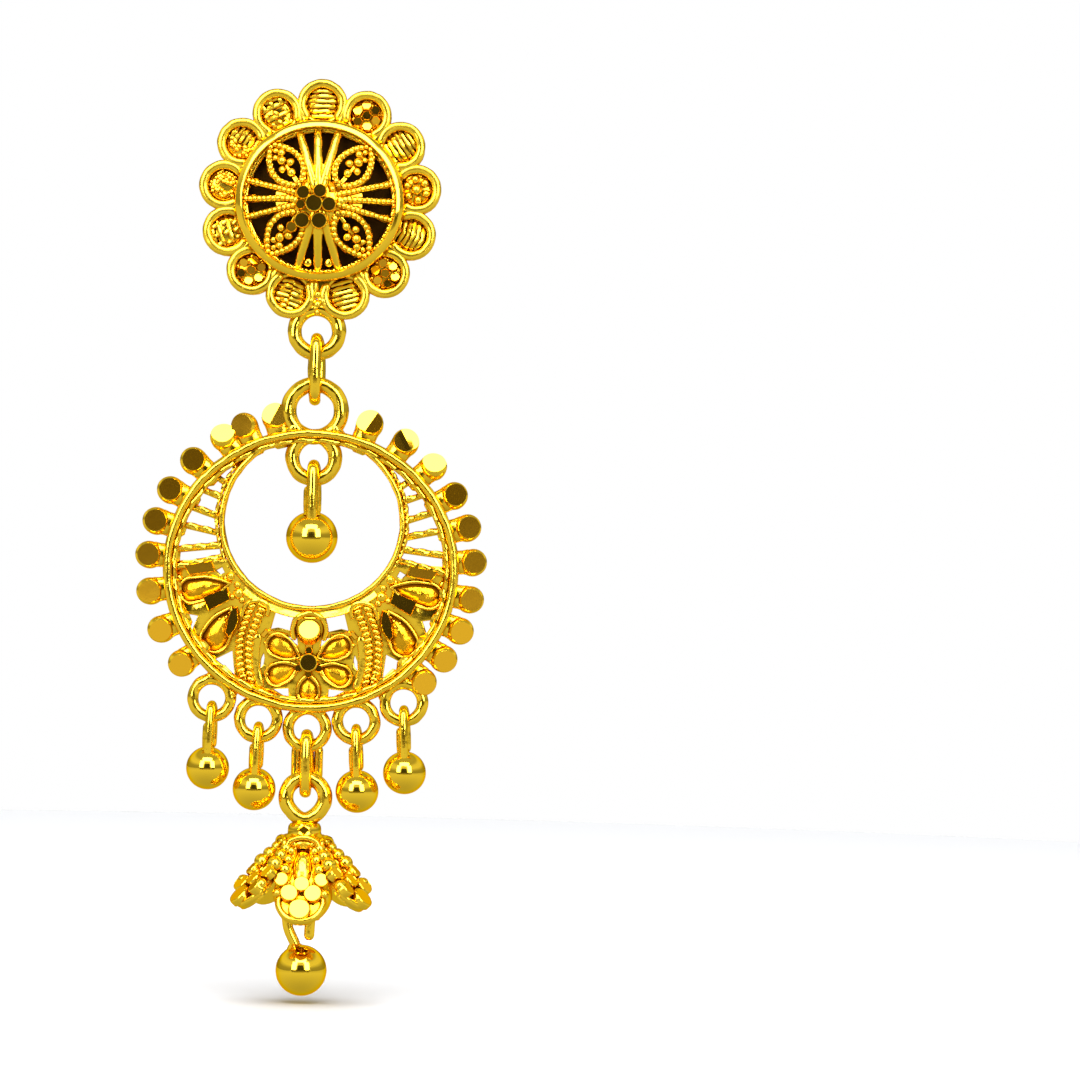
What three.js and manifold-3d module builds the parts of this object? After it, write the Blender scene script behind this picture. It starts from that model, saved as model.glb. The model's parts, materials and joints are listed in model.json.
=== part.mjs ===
// Chandbali earring, the left one of a pair: a flower stud, a crescent pendant that swings below it
// with ball drops, and a bell-shaped flower drop under the crescent.
// Everything is drawn as seen by a viewer in front: x across, y up, z towards the viewer, in mm.
// At the end the whole is turned so that up is +Z and the front faces -Y.
// The origin is the point on the stud's back where the ear post leaves it.
import * as THREE from "three";
import { mergeVertices } from "three/addons/utils/BufferGeometryUtils.js";
import Module from "manifold-3d";

const wasm = await Module();
wasm.setup();

// ---------------------------------------------------------------- driving dimensions (mm, degrees)
const LINK_GAP = 0.04; // play between two wires that hang in each other
const LOOP_ROOM = 0.14; // room inside a ball's loop beyond the wires that meet there
const SEAT_GAP = 0.05; // play between a piece and the setting that holds it
const HANG_PLANE = 0.9; // the hanging pieces' middle plane, forward of the stud's back

const STUD = {
  petals: 13,
  petalPitch: 27.3, // the last space, at the bottom, is wider and takes the ring
  lobeCentre: 6.37,
  lobeRadius: 2.1,
  floor: 0.7, // thickness of the plate under everything
  rimTop: 1.6, // height of the petals' raised rims
  pocketCentre: 6.85,
  pocketLong: 1.22,
  pocketWide: 1.1,
  bezelOuter: 5.88,
  bezelInner: 5.3,
  bezelTop: 2.4,
  oval: 0.955, // height against width
};
const RIBS = { places: [-0.7, -0.24, 0.24, 0.7], width: 0.26, height: 0.4 };
const ROSETTE = { orbit: 0.55, lobe: 0.36, height: 0.4 };
const DOME = { radius: 5.2, edgeHeight: 1.45, crownHeight: 2.9, sheet: 0.5 };
const BOSS = { radius: 2.5, facet: 0.52, facetOrbit: 1.12 }; // the faceted flower on the dome's crown
const LEAF_EYE = { x: 3.75, halfLength: 0.62, halfWidth: 0.42 }; // the gap inside each leaf
const STUD_RING = { y: -9.05, radius: 1.55, wire: 0.5 };
const POST = { radius: 0.45, length: 10.5 };

const LINK = { wire: 0.455, reach: 1.05, bottomY: -13.78 };

const CRESCENT = {
  y: -25.58, // centre of the outer oval
  rimX: 10.29,
  rimY: 9.71,
  rimWall: 0.75,
  rimDepth: 0.9, // half of the frame's depth
  openingY: 3.26, // centre of the big opening above the oval's centre
  openingX: 6.25,
  openingHeight: 5.95,
  ringWall: 0.5,
  ringDepth: 0.75, // half of the inner ring's depth
};
const TOP_RING = { radius: 1.835, wire: 0.54 };
const INNER_RING = { y: 7.71, radius: 1.495, wire: 0.495 };
const DROP_RING = { radius: 1.315, wire: 0.4 };
const DROP_RINGS = [
  { name: "far_left", x: -6.69, y: -9.18 },
  { name: "near_left", x: -3.4, y: -10.56 },
  { name: "centre", x: 0, y: -11.14 },
  { name: "near_right", x: 3.4, y: -10.56 },
  { name: "far_right", x: 6.69, y: -9.18 },
];
const STUDS_ON_RIM = {
  first: 18, // degrees from the top
  pitch: 12.5,
  perSide: 10,
  orbitX: 11.27,
  orbitY: 10.8,
  radius: 1.0,
  stem: 0.42,
};

const CENTRE_DROP = { wire: 0.425, ball: 1.8, ballY: 2.18 };
const SMALL_DROP = { wire: 0.35, ball: 1.525, below: 4.87 };

const BELL_LINK = { wire: 0.41, reach: 1.05, bottomY: -41.16 };
const BACK_COIL = { wire: 0.32, radius: 0.8, stretch: 0.72, behind: 1.12 }; // behind the bell's link
const BELL_LOOP = { wire: 0.52, radius: 1.36 };
const BELL = {
  collarTop: -2.2, // heights below the wire that the bell hangs on
  collarBottom: -3.6,
  collarRadius: 1.15,
  petals: 5,
  petalLength: 5.9,
  petalHalfWidth: 1.85,
  petalThickness: 0.75,
  petalRim: 0.38,
  dishDepth: 0.35,
  frontLean: 54, // degrees that the front petal leans down, and the others
  sideLean: 47,
  cupRadius: 2.05,
  cupWall: 0.4,
  cupY: -7.15,
  stalk: 0.5, // the stem that carries the cup
  barY: -7.9, // the bar across the cup that the lowest drop hooks over
  barWire: 0.22,
};
const BOTTOM_DROP = { wire: 0.37, bend: 0.72, stubY: -10.4, ball: 1.785, ballY: -12.43 };

// ---------------------------------------------------------------- materials
const goldPlate = new THREE.MeshStandardMaterial({ color: 0xe2ae27, roughness: 0.22, metalness: 1 });
const castGold = new THREE.MeshStandardMaterial({ color: 0xd89f1c, roughness: 0.32, metalness: 1 });
const polishedGold = new THREE.MeshStandardMaterial({ color: 0xe8b631, roughness: 0.12, metalness: 1 });
const darkGround = new THREE.MeshStandardMaterial({ color: 0x3a2508, roughness: 0.55, metalness: 0.9 });
const postBrass = new THREE.MeshStandardMaterial({ color: 0xcfa02c, roughness: 0.3, metalness: 1 });

// ---------------------------------------------------------------- working with solids
const rad = THREE.MathUtils.degToRad;

// A closed three.js geometry as a manifold-3d solid.
function solid(geometry) {
  const bare = geometry.index ? geometry.toNonIndexed() : geometry.clone();
  bare.deleteAttribute("normal");
  bare.deleteAttribute("uv");
  const merged = mergeVertices(bare, 1e-5);
  const corners = merged.index.array;
  const kept = [];
  for (let i = 0; i < corners.length; i += 3) {
    const [a, b, c] = corners.subarray(i, i + 3);
    if (a !== b && b !== c && c !== a) kept.push(a, b, c);
  }
  return new wasm.Manifold(
    new wasm.Mesh({
      numProp: 3,
      vertProperties: merged.attributes.position.array,
      triVerts: new Uint32Array(kept),
    }),
  );
}

const joined = (parts) => parts.reduce((all, part) => all.add(part));
const cutFrom = (body, cutters) => body.subtract(joined(cutters));

// A solid as a named mesh.
function meshOf(name, body, material) {
  const data = body.getMesh();
  const geometry = new THREE.BufferGeometry();
  geometry.setAttribute("position", new THREE.BufferAttribute(data.vertProperties, 3));
  geometry.setIndex(new THREE.BufferAttribute(data.triVerts, 1));
  geometry.computeVertexNormals();
  const mesh = new THREE.Mesh(geometry, material);
  mesh.name = name;
  return mesh;
}

// Moves each vertex of a geometry by a function of its place.
function reshape(geometry, move) {
  const position = geometry.attributes.position;
  const v = new THREE.Vector3();
  for (let i = 0; i < position.count; i++) {
    v.fromBufferAttribute(position, i);
    move(v);
    position.setXYZ(i, v.x, v.y, v.z);
  }
  return geometry;
}

// A flat shape, from height z0 to height z1.
function slab(shape, z0, z1, curveSegments = 8) {
  const geometry = new THREE.ExtrudeGeometry(shape, { depth: z1 - z0, bevelEnabled: false, curveSegments });
  return geometry.translate(0, 0, z0);
}

// A closed profile of [radius, height] pairs, turned about the z axis.
function turned(profile, segments) {
  const points = [...profile, profile[0]].map(([r, h]) => new THREE.Vector2(r, h));
  return new THREE.LatheGeometry(points, segments).rotateX(Math.PI / 2);
}

// A wire ring in the viewer's plane, centred on 0.
const wireRing = (radius, wire, steps = 18, sides = 6) =>
  new THREE.TorusGeometry(radius, wire, sides, steps);

// A long wire link seen edge on, with straight legs: its round ends are centred at y0 and y1.
function longLink(reach, wire, y0, y1, steps = 14, sides = 6) {
  const link = wireRing(reach, wire, steps, sides).rotateZ(Math.PI / steps);
  reshape(link, (v) => {
    v.y += v.y > 0 ? y1 : y0;
  });
  return link.rotateY(Math.PI / 2);
}

// A straight wire between two points.
function bar(from, to, wire, sides = 6) {
  const along = new THREE.Vector3().subVectors(to, from);
  const rod = new THREE.CylinderGeometry(wire, wire, along.length(), sides);
  const turn = new THREE.Quaternion().setFromUnitVectors(new THREE.Vector3(0, 1, 0), along.normalize());
  const middle = new THREE.Vector3().addVectors(from, to).multiplyScalar(0.5);
  return rod.applyQuaternion(turn).translate(middle.x, middle.y, middle.z);
}

// A ball on a loop of wire: the loop's top wire is centred at topY, the ball at ballY.
function ballDrop({ wire, ball }, topY, ballY, seatWire) {
  const reach = wire + seatWire + LOOP_ROOM;
  const loop = longLink(reach, wire, ballY + reach, topY - reach, 10, 5);
  return solid(new THREE.SphereGeometry(ball, 12, 7).translate(0, ballY, 0)).add(solid(loop));
}

// ---------------------------------------------------------------- stud: petals, bezel and ring
const petalAngles = Array.from(
  { length: STUD.petals },
  (_, k) => 90 + (k - (STUD.petals - 1) / 2) * STUD.petalPitch,
);

// The outer edge of a row of overlapping round lobes.
function lobedOutline(angles, centre, radius, stepsPerLobe) {
  const reach = (degrees) =>
    Math.max(
      ...angles.map((lobe) => {
        const off = rad(degrees - lobe);
        const across = centre * Math.sin(off);
        if (Math.cos(off) < 0 || Math.abs(across) > radius) return 0;
        return centre * Math.cos(off) + Math.sqrt(radius ** 2 - across ** 2);
      }),
    );
  const points = [];
  angles.forEach((lobe, k) => {
    const next = k + 1 < angles.length ? angles[k + 1] : angles[0] + 360;
    for (let i = 0; i < stepsPerLobe; i++) {
      const a = lobe + ((next - lobe) * i) / stepsPerLobe;
      const r = reach(a);
      points.push(new THREE.Vector2(r * Math.cos(rad(a)), r * Math.sin(rad(a))));
    }
  });
  return points;
}

// An oval as a closed path of straight sides.
function ovalPath(x, y, rx, ry, sides, turn = 0) {
  const path = new THREE.Path();
  path.absellipse(x, y, rx, ry, 0, 2 * Math.PI, false, turn);
  return new THREE.Path(path.getPoints(sides / 2).slice(0, -1));
}

// Relief in a petal's pocket: ribs across it on every other petal, a six-lobed rosette on the rest.
function petalRelief(degrees, ribbed) {
  const { pocketLong, pocketWide, pocketCentre, floor } = STUD;
  const pieces = [];
  if (ribbed) {
    for (const along of RIBS.places) {
      const halfPocket = pocketWide * Math.sqrt(1 - (along / pocketLong) ** 2);
      const rib = new THREE.BoxGeometry(RIBS.width, 2 * 0.95 * halfPocket, 0.5);
      pieces.push(rib.translate(pocketCentre + along, 0, floor + RIBS.height - 0.25));
    }
  } else {
    const outline = lobedOutline([0, 60, 120, 180, 240, 300], ROSETTE.orbit, ROSETTE.lobe, 2);
    const rosette = slab(new THREE.Shape(outline), 0.3, floor + ROSETTE.height);
    pieces.push(rosette.translate(pocketCentre, 0, 0));
  }
  return pieces.map((g) => solid(g.rotateZ(rad(degrees))));
}

function studFlower() {
  const rims = new THREE.Shape(lobedOutline(petalAngles, STUD.lobeCentre, STUD.lobeRadius, 6));
  const floor = new THREE.Shape(lobedOutline(petalAngles, STUD.lobeCentre, STUD.lobeRadius - 0.12, 4));
  const underBezel = STUD.bezelInner + 0.2;
  rims.holes.push(ovalPath(0, 0, underBezel, underBezel * STUD.oval, 32));
  for (const a of petalAngles) {
    const x = STUD.pocketCentre * Math.cos(rad(a));
    const y = STUD.pocketCentre * Math.sin(rad(a));
    rims.holes.push(ovalPath(x, y, STUD.pocketLong, STUD.pocketWide, 8, rad(a)));
  }
  const middle = (STUD.bezelOuter + STUD.bezelInner) / 2;
  const bezel = turned(
    [
      [STUD.bezelInner, 0.2],
      [STUD.bezelOuter, 0.2],
      [STUD.bezelOuter, STUD.bezelTop - 0.3],
      [middle, STUD.bezelTop],
      [STUD.bezelInner, STUD.bezelTop - 0.3],
    ],
    32,
  ).scale(1, STUD.oval, 1);
  return joined([
    solid(slab(rims, 0.05, STUD.rimTop, 4)),
    solid(slab(floor, 0, STUD.floor)),
    solid(bezel),
    solid(wireRing(STUD_RING.radius, STUD_RING.wire, 16).translate(0, STUD_RING.y, HANG_PLANE)),
    ...petalAngles.flatMap((a, k) => petalRelief(a, k % 2 === 0)),
  ]);
}

// ---------------------------------------------------------------- stud: pierced dome inside the bezel
// Height of the dome's underside at a distance from its centre.
const domeHeight = (r) =>
  DOME.edgeHeight + (DOME.crownHeight - DOME.edgeHeight) * (1 - (r / DOME.radius) ** 2);

function ontoDome(geometry) {
  return reshape(geometry, (v) => {
    v.z += domeHeight(Math.hypot(v.x, v.y));
    v.y *= STUD.oval;
  });
}

// The dome's solid strips, as half widths at four distances from the centre: twelve straight spokes
// and, between each group of three, a pointed leaf.
const STRIPS = [
  { distance: 2.6, spoke: 0.26, leaf: 0.3 },
  { distance: 3.2, spoke: 0.22, leaf: 0.85 },
  { distance: 4.0, spoke: 0.22, leaf: 1.0 },
  { distance: 4.8, spoke: 0.24, leaf: 0.5 },
];

// The gap between two strips: the first at `from` degrees, the next at `to`.
function domeGap(from, fromKind, to, toKind) {
  const edge = (degrees, kind, side) =>
    STRIPS.map((row) => {
      const a = rad(degrees) + side * Math.asin(row[kind] / row.distance);
      return new THREE.Vector2(row.distance * Math.cos(a), row.distance * Math.sin(a));
    });
  return new THREE.Path([...edge(from, fromKind, 1), ...edge(to, toKind, -1).reverse()]);
}

function studDome() {
  const sheet = new THREE.Shape(ovalPath(0, 0, DOME.radius, DOME.radius, 32).getPoints());
  const middleHole = BOSS.radius - 0.25;
  sheet.holes.push(ovalPath(0, 0, middleHole, middleHole, 12));
  for (const side of [0, 90, 180, 270]) {
    sheet.holes.push(domeGap(side - 15, "spoke", side, "spoke"));
    sheet.holes.push(domeGap(side, "spoke", side + 15, "spoke"));
    sheet.holes.push(domeGap(side + 15, "spoke", side + 45, "leaf"));
    sheet.holes.push(domeGap(side + 45, "leaf", side + 75, "spoke"));
    const eye = ovalPath(LEAF_EYE.x, 0, LEAF_EYE.halfLength, LEAF_EYE.halfWidth, 6).getPoints();
    const middle = new THREE.Vector2();
    sheet.holes.push(new THREE.Path(eye.map((p) => p.rotateAround(middle, rad(side + 45)))));
  }
  const boss = turned(
    [
      [0, 0.02],
      [BOSS.radius, 0.02],
      [BOSS.radius - 0.1, DOME.sheet + 0.06],
      [BOSS.radius / 2, DOME.sheet + 0.1],
      [0, DOME.sheet + 0.1],
    ],
    12,
  );
  const pieces = [slab(sheet, 0, DOME.sheet), boss];
  for (let k = 0; k < 7; k++) {
    const orbit = k === 0 ? 0 : BOSS.facetOrbit;
    const facet = new THREE.CylinderGeometry(BOSS.facet, BOSS.facet + 0.08, 0.8, 6).rotateX(Math.PI / 2);
    const [x, y] = [orbit * Math.cos(rad(60 * k)), orbit * Math.sin(rad(60 * k))];
    pieces.push(facet.translate(x, y, DOME.sheet + 0.05));
  }
  return joined(pieces.map((g) => solid(ontoDome(g))));
}

// The dark plate that shows through the dome's gaps.
function studGround() {
  const plate = new THREE.CylinderGeometry(DOME.radius, DOME.radius, 0.3, 24).rotateX(Math.PI / 2);
  return solid(plate.translate(0, 0, STUD.floor + SEAT_GAP + 0.15).scale(1, STUD.oval, 1));
}

function earPost() {
  const tip = -POST.length;
  const profile = [
    [0, -SEAT_GAP],
    [0, tip],
    [POST.radius * 0.6, tip],
    [POST.radius, tip + 0.4],
    [POST.radius, -SEAT_GAP],
  ];
  return solid(turned(profile, 12));
}

// ---------------------------------------------------------------- crescent frame
// A flat oval band with a rounded front edge.
function ovalBand(halfWidth, halfHeight, wall, back, front, segments) {
  const band = turned(
    [
      [halfWidth - wall, back],
      [halfWidth, back],
      [halfWidth, front - 0.2],
      [halfWidth - 0.25, front],
      [halfWidth - wall, front - 0.35],
    ],
    segments,
  );
  return band.scale(1, halfHeight / halfWidth, 1);
}

// The ladder of twisted bars between rim and opening: where each meets the two, in degrees from
// the top, about the centre of the rim and about the centre of the opening.
const LADDER = [
  { rim: 46.8, ring: 67.3 },
  { rim: 55.0, ring: 76.1 },
  { rim: 63.8, ring: 87.8 },
  { rim: 72.1, ring: 98.1 },
  { rim: 83.6, ring: 106.0 },
  { rim: 91.6, ring: 113.1 },
];

const LADDER_BAR = { wire: 0.3, z: 0.15 };

// A point of an oval, at an angle from its top.
function onOval(degrees, rx, ry, cy = 0, z = 0) {
  const reach = 1 / Math.hypot(Math.sin(rad(degrees)) / rx, Math.cos(rad(degrees)) / ry);
  return new THREE.Vector3(reach * Math.sin(rad(degrees)), cy + reach * Math.cos(rad(degrees)), z);
}

// The lower panel: a plate between the rim and the opening, with raised work on its front.
const PANEL = {
  topAtRim: -0.27, // height of the plate's top edge where it meets the rim
  topAtRing: 0.67,
  back: -0.45,
  front: 0.2,
  reliefTop: 0.7,
  cupRim: 0.3,
  petalRim: 0.26,
};

// Gaps cut through the lower panel: corners of the right half, mirrored to the left.
const PANEL_GAPS = [
  { name: "outer triangle", corners: [[9.0, -3.3], [7.85, -3.5], [8.3, -4.65]] },
  { name: "lower triangle", corners: [[6.5, -6.55], [5.4, -5.9], [5.2, -7.5]] },
  { name: "window", corners: [[2.33, -2.95], [1.08, -3.15], [1.36, -4.35], [2.7, -4.2]] },
  { name: "by the flower's side", corners: [[3.3, -5.75], [3.0, -6.1], [3.05, -6.9], [3.5, -7.2]] },
  { name: "under the flower", corners: [[2.5, -8.25], [1.4, -8.3], [1.35, -8.75]] },
  { name: "by the top petal", corners: [[1.55, -4.75], [0.95, -4.85], [0.9, -5.3]] },
];

// Drop-shaped cups on the lower panel, right half: tip, middle of the round end, width.
const PANEL_CUPS = [
  { name: "upper cup", tip: [5.35, -1.4], end: [8.1, -1.95], width: 2.0 },
  { name: "lower cup", tip: [5.3, -2.7], end: [6.72, -5.05], width: 1.85 },
];

// Flat facets on the lower panel, right half: centre, length, width and turn.
const PANEL_FACETS = [
  { name: "over the upper cup", x: 7.65, y: -0.4, long: 1.8, wide: 0.75, turn: -17 },
  { name: "between the cups", x: 6.4, y: -2.5, long: 1.45, wide: 0.85, turn: -32 },
  { name: "inside the lower cup", x: 5.05, y: -4.0, long: 1.9, wide: 0.5, turn: -76 },
];

// The flower in the middle of the lower panel: the way each petal points, in degrees, and where it
// starts and ends, outward from the flower's middle.
const FLOWER = { y: -6.5, eye: 0.72, petalWidth: 1.5, crownY: 2.35, crownRadius: 1.15 };
const FLOWER_PETALS = [
  { name: "upper right", points: 24, from: 0.6, to: 3.1 },
  { name: "upper left", points: 156, from: 0.6, to: 3.1 },
  { name: "lower right", points: -22, from: 0.6, to: 3.1 },
  { name: "lower left", points: 202, from: 0.6, to: 3.1 },
  { name: "bottom", points: -90, from: 0.8, to: 2.75 },
];

// The twin rope between the cups and the flower, right half: start, pull and end of its curve.
const ROPE_BAND = {
  route: [[3.75, -2.9], [4.6, -5.3], [4.05, -8.35]],
  z: 0.32,
  width: 1.2,
  height: 0.56,
};

const bothSides = (make) => [1, -1].map((side) => make(side));

function polygon(corners, side) {
  return new THREE.Shape(corners.map(([x, y]) => new THREE.Vector2(side * x, y)));
}

// A drop shape: a point, and a round end of the given width about its middle.
function dropShape(tip, end, width, inset, side) {
  const from = new THREE.Vector2(side * tip[0], tip[1]);
  const to = new THREE.Vector2(side * end[0], end[1]);
  const way = Math.atan2(to.y - from.y, to.x - from.x);
  const radius = width / 2 - inset;
  const shape = new THREE.Shape();
  shape.moveTo(from.x + 1.8 * inset * Math.cos(way), from.y + 1.8 * inset * Math.sin(way));
  shape.absarc(to.x, to.y, radius, way - rad(110), way + rad(110), false);
  shape.closePath();
  return shape;
}

function lowerPanel() {
  const { rimX, rimY, openingX, openingHeight, openingY } = CRESCENT;
  const outerEnd = Math.asin(PANEL.topAtRim / rimY);
  const innerEnd = Math.asin((PANEL.topAtRing - openingY) / openingHeight);
  const shape = new THREE.Shape();
  shape.absellipse(0, 0, rimX - 0.4, rimY - 0.4, outerEnd, Math.PI - outerEnd, true);
  shape.absellipse(0, openingY, openingX + 0.3, openingHeight + 0.3, Math.PI - innerEnd, innerEnd, false);
  shape.closePath();
  const cutters = PANEL_GAPS.flatMap(({ corners }) =>
    bothSides((side) => solid(slab(polygon(corners, side), -2, 2))),
  );
  return cutFrom(solid(slab(shape, PANEL.back, PANEL.front, 14)), cutters);
}

function panelRelief() {
  const pieces = [];
  for (const side of [1, -1]) {
    for (const { tip, end, width } of PANEL_CUPS) {
      const rim = dropShape(tip, end, width, 0, side);
      rim.holes.push(dropShape(tip, end, width, PANEL.cupRim, side));
      pieces.push(slab(rim, 0, PANEL.reliefTop, 4));
    }
    for (const { x, y, long, wide, turn } of PANEL_FACETS) {
      const facet = new THREE.BoxGeometry(long, wide, PANEL.reliefTop);
      pieces.push(facet.rotateZ(side * rad(turn)).translate(side * x, y, 0.3));
    }
    const route = ROPE_BAND.route.map(([x, y]) => new THREE.Vector3(side * x, y, ROPE_BAND.z));
    const band = new THREE.QuadraticBezierCurve3(...route);
    const section = new THREE.Shape();
    section.absellipse(0, 0, ROPE_BAND.height / 2, ROPE_BAND.width / 2, 0, 2 * Math.PI, false);
    const options = { extrudePath: band, steps: 5, curveSegments: 3, bevelEnabled: false };
    pieces.push(new THREE.ExtrudeGeometry(section, options));
  }
  for (const { points, from, to } of FLOWER_PETALS) {
    const end = [to - FLOWER.petalWidth / 2, 0];
    const petal = dropShape([from, 0], end, FLOWER.petalWidth, 0, 1);
    petal.holes.push(dropShape([from, 0], end, FLOWER.petalWidth, PANEL.petalRim, 1));
    pieces.push(slab(petal, 0, PANEL.reliefTop, 4).rotateZ(rad(points)).translate(0, FLOWER.y, 0));
  }
  const { eye, y, crownRadius, crownY } = FLOWER;
  const boss = (radius, height, sides) =>
    new THREE.CylinderGeometry(radius * 0.8, radius, height, sides).rotateX(Math.PI / 2);
  pieces.push(boss(eye, 0.9, 8).translate(0, y, 0.4));
  pieces.push(boss(crownRadius, 0.6, 10).translate(0, y + crownY, 0.35));
  return pieces.map(solid);
}

// One round stud on a tapered stem, standing out from the rim: a ball with its face cut flat.
function rimStud(degrees) {
  const at = onOval(degrees, STUDS_ON_RIM.orbitX, STUDS_ON_RIM.orbitY);
  const foot = onOval(degrees, CRESCENT.rimX - 0.35, CRESCENT.rimY - 0.35);
  const r = STUDS_ON_RIM.radius;
  const head = turned(
    [
      [0, -0.65],
      [r, -0.05],
      [0.88 * r, 0.5],
      [0, 0.5],
    ],
    6,
  );
  return [solid(head.translate(at.x, at.y, 0.1)), solid(bar(foot, at, STUDS_ON_RIM.stem, 4))];
}

function crescentFrame() {
  const { rimX, rimY, rimWall, rimDepth, openingX, openingHeight, openingY } = CRESCENT;
  const { ringWall, ringDepth } = CRESCENT;
  const [ringX, ringY] = [openingX + ringWall, openingHeight + ringWall];
  const ring = ovalBand(ringX, ringY, ringWall, -ringDepth, ringDepth, 32).translate(0, openingY, 0);
  // The ring around the opening runs into the rim at the top, and nothing of it stands outside.
  const outside = new THREE.Shape();
  outside.absellipse(0, 0, 16, 16, 0, 2 * Math.PI, false);
  outside.holes.push(ovalPath(0, 0, rimX - 0.1, rimY - 0.1, 40));
  const parts = [
    solid(ovalBand(rimX, rimY, rimWall, -rimDepth, rimDepth, 40)),
    solid(ring).subtract(solid(slab(outside, -2, 2, 12))),
    lowerPanel(),
    ...panelRelief(),
  ];
  for (const { rim: atRim, ring: atRing } of LADDER) {
    const outer = onOval(atRim, rimX - 0.4, rimY - 0.4, 0, LADDER_BAR.z);
    const inner = onOval(atRing, openingX + 0.3, openingHeight + 0.3, openingY, LADDER_BAR.z);
    for (const side of [1, -1]) {
      const mirror = new THREE.Vector3(side, 1, 1);
      const ends = [outer, inner].map((end) => end.clone().multiply(mirror));
      parts.push(solid(bar(...ends, LADDER_BAR.wire, 4)));
    }
  }
  for (let k = 0; k < STUDS_ON_RIM.perSide; k++) {
    const degrees = STUDS_ON_RIM.first + k * STUDS_ON_RIM.pitch;
    parts.push(...rimStud(degrees), ...rimStud(-degrees));
  }
  const topRingY = LINK.bottomY + LINK.wire + TOP_RING.wire + LINK_GAP - TOP_RING.radius - CRESCENT.y;
  parts.push(solid(wireRing(TOP_RING.radius, TOP_RING.wire, 16).translate(0, topRingY, 0)));
  parts.push(solid(wireRing(INNER_RING.radius, INNER_RING.wire, 16).translate(0, INNER_RING.y, 0)));
  for (const { x, y } of DROP_RINGS) {
    parts.push(solid(wireRing(DROP_RING.radius, DROP_RING.wire, 12, 5).translate(x, y, 0)));
  }
  return joined(parts);
}

// ---------------------------------------------------------------- bell
// The polished discs in a petal and the largest beads of its edge, along the petal from the collar.
const BELL_DISCS = [
  { along: 3.0, across: 0, radius: 0.55 },
  { along: 3.95, across: -0.75, radius: 0.6 },
  { along: 3.95, across: 0.75, radius: 0.6 },
  { along: 4.95, across: 0, radius: 0.72 },
];
const BELL_BEADS = [
  { along: 2.3, radius: 0.65 },
  { along: 3.75, radius: 0.72 },
];

// One petal, drawn lying along +x from the collar and then leaned down and turned to its place.
function bellPetal(degrees, lean) {
  const { petalLength: long, petalHalfWidth: wide, petalThickness: thick } = BELL;
  const leaf = (inset, start) => {
    const shape = new THREE.Shape();
    shape.moveTo(start, -0.5 + inset);
    shape.lineTo(long - wide, -wide + inset);
    shape.absarc(long - wide, 0, wide - inset, -Math.PI / 2, Math.PI / 2, false);
    shape.lineTo(start, 0.5 - inset);
    shape.closePath();
    return shape;
  };
  const dish = slab(leaf(BELL.petalRim, 1.3), -BELL.dishDepth, 1, 3);
  const pieces = [solid(slab(leaf(0, -0.3), -thick, 0, 4)).subtract(solid(dish))];
  for (const { along, across, radius } of BELL_DISCS) {
    const disc = new THREE.CylinderGeometry(radius * 0.9, radius, 0.6, 6).rotateX(Math.PI / 2);
    pieces.push(solid(disc.translate(along, across, -0.12)));
  }
  for (const side of [1, -1]) {
    for (const { along, radius } of BELL_BEADS) {
      const edge = (0.5 + ((wide - 0.5) * (along + 0.3)) / (long - wide + 0.3)) * side;
      pieces.push(solid(new THREE.OctahedronGeometry(radius).translate(along, edge, 0)));
    }
  }
  const place = new THREE.Matrix4()
    .makeRotationY(rad(degrees))
    .multiply(new THREE.Matrix4().makeTranslation(BELL.collarRadius - 0.25, BELL.collarBottom + 0.45, 0))
    .multiply(new THREE.Matrix4().makeRotationZ(-rad(lean)))
    .multiply(new THREE.Matrix4().makeRotationX(-Math.PI / 2));
  return joined(pieces).transform(place.elements);
}

function bellCap() {
  const parts = [];
  const wireInMiddle = (from, to, wire) =>
    solid(bar(new THREE.Vector3(0, ...from), new THREE.Vector3(0, ...to), wire));
  const loopY = BELL_LINK.wire + BELL_LOOP.wire + LINK_GAP - BELL_LOOP.radius;
  const loop = wireRing(BELL_LOOP.radius, BELL_LOOP.wire, 16);
  reshape(loop, (v) => {
    const below = Math.max(0, -v.y);
    v.x *= 1 - 0.22 * (below / BELL_LOOP.radius) ** 2;
    v.y -= 0.12 * below;
  });
  parts.push(solid(loop.translate(0, loopY, 0)));
  const { collarTop, collarBottom, collarRadius, cupRadius, cupWall, cupY } = BELL;
  const collar = new THREE.LatheGeometry(
    [
      [0, collarTop],
      [collarRadius - 0.2, collarTop],
      [collarRadius, collarTop - 0.5],
      [collarRadius - 0.1, collarTop - 0.7],
      [collarRadius + 0.35, collarBottom],
      [0, collarBottom - 0.5],
    ]
      .reverse()
      .map(([r, y]) => new THREE.Vector2(r, y)),
    12,
  );
  parts.push(solid(collar));
  const arc = (radius, start, end, count) =>
    Array.from({ length: count + 1 }, (_, i) => {
      const t = rad(start + ((end - start) * i) / count);
      return new THREE.Vector2(Math.max(0, radius * Math.cos(t)), radius * Math.sin(t));
    });
  const cup = [...arc(cupRadius, -52, 90, 5), ...arc(cupRadius - cupWall, 90, -42, 4)];
  parts.push(solid(new THREE.LatheGeometry([...cup, cup[0]], 12).translate(0, cupY, 0)));
  parts.push(wireInMiddle([collarBottom, 0], [cupY + cupRadius - 0.2, 0], BELL.stalk));
  const acrossCup = cupRadius - cupWall / 2;
  parts.push(wireInMiddle([BELL.barY, -acrossCup], [BELL.barY, acrossCup], BELL.barWire));
  for (let k = 0; k < BELL.petals; k++) {
    parts.push(bellPetal(-90 + (360 / BELL.petals) * k, k === 0 ? BELL.frontLean : BELL.sideLean));
  }
  return joined(parts);
}

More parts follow.
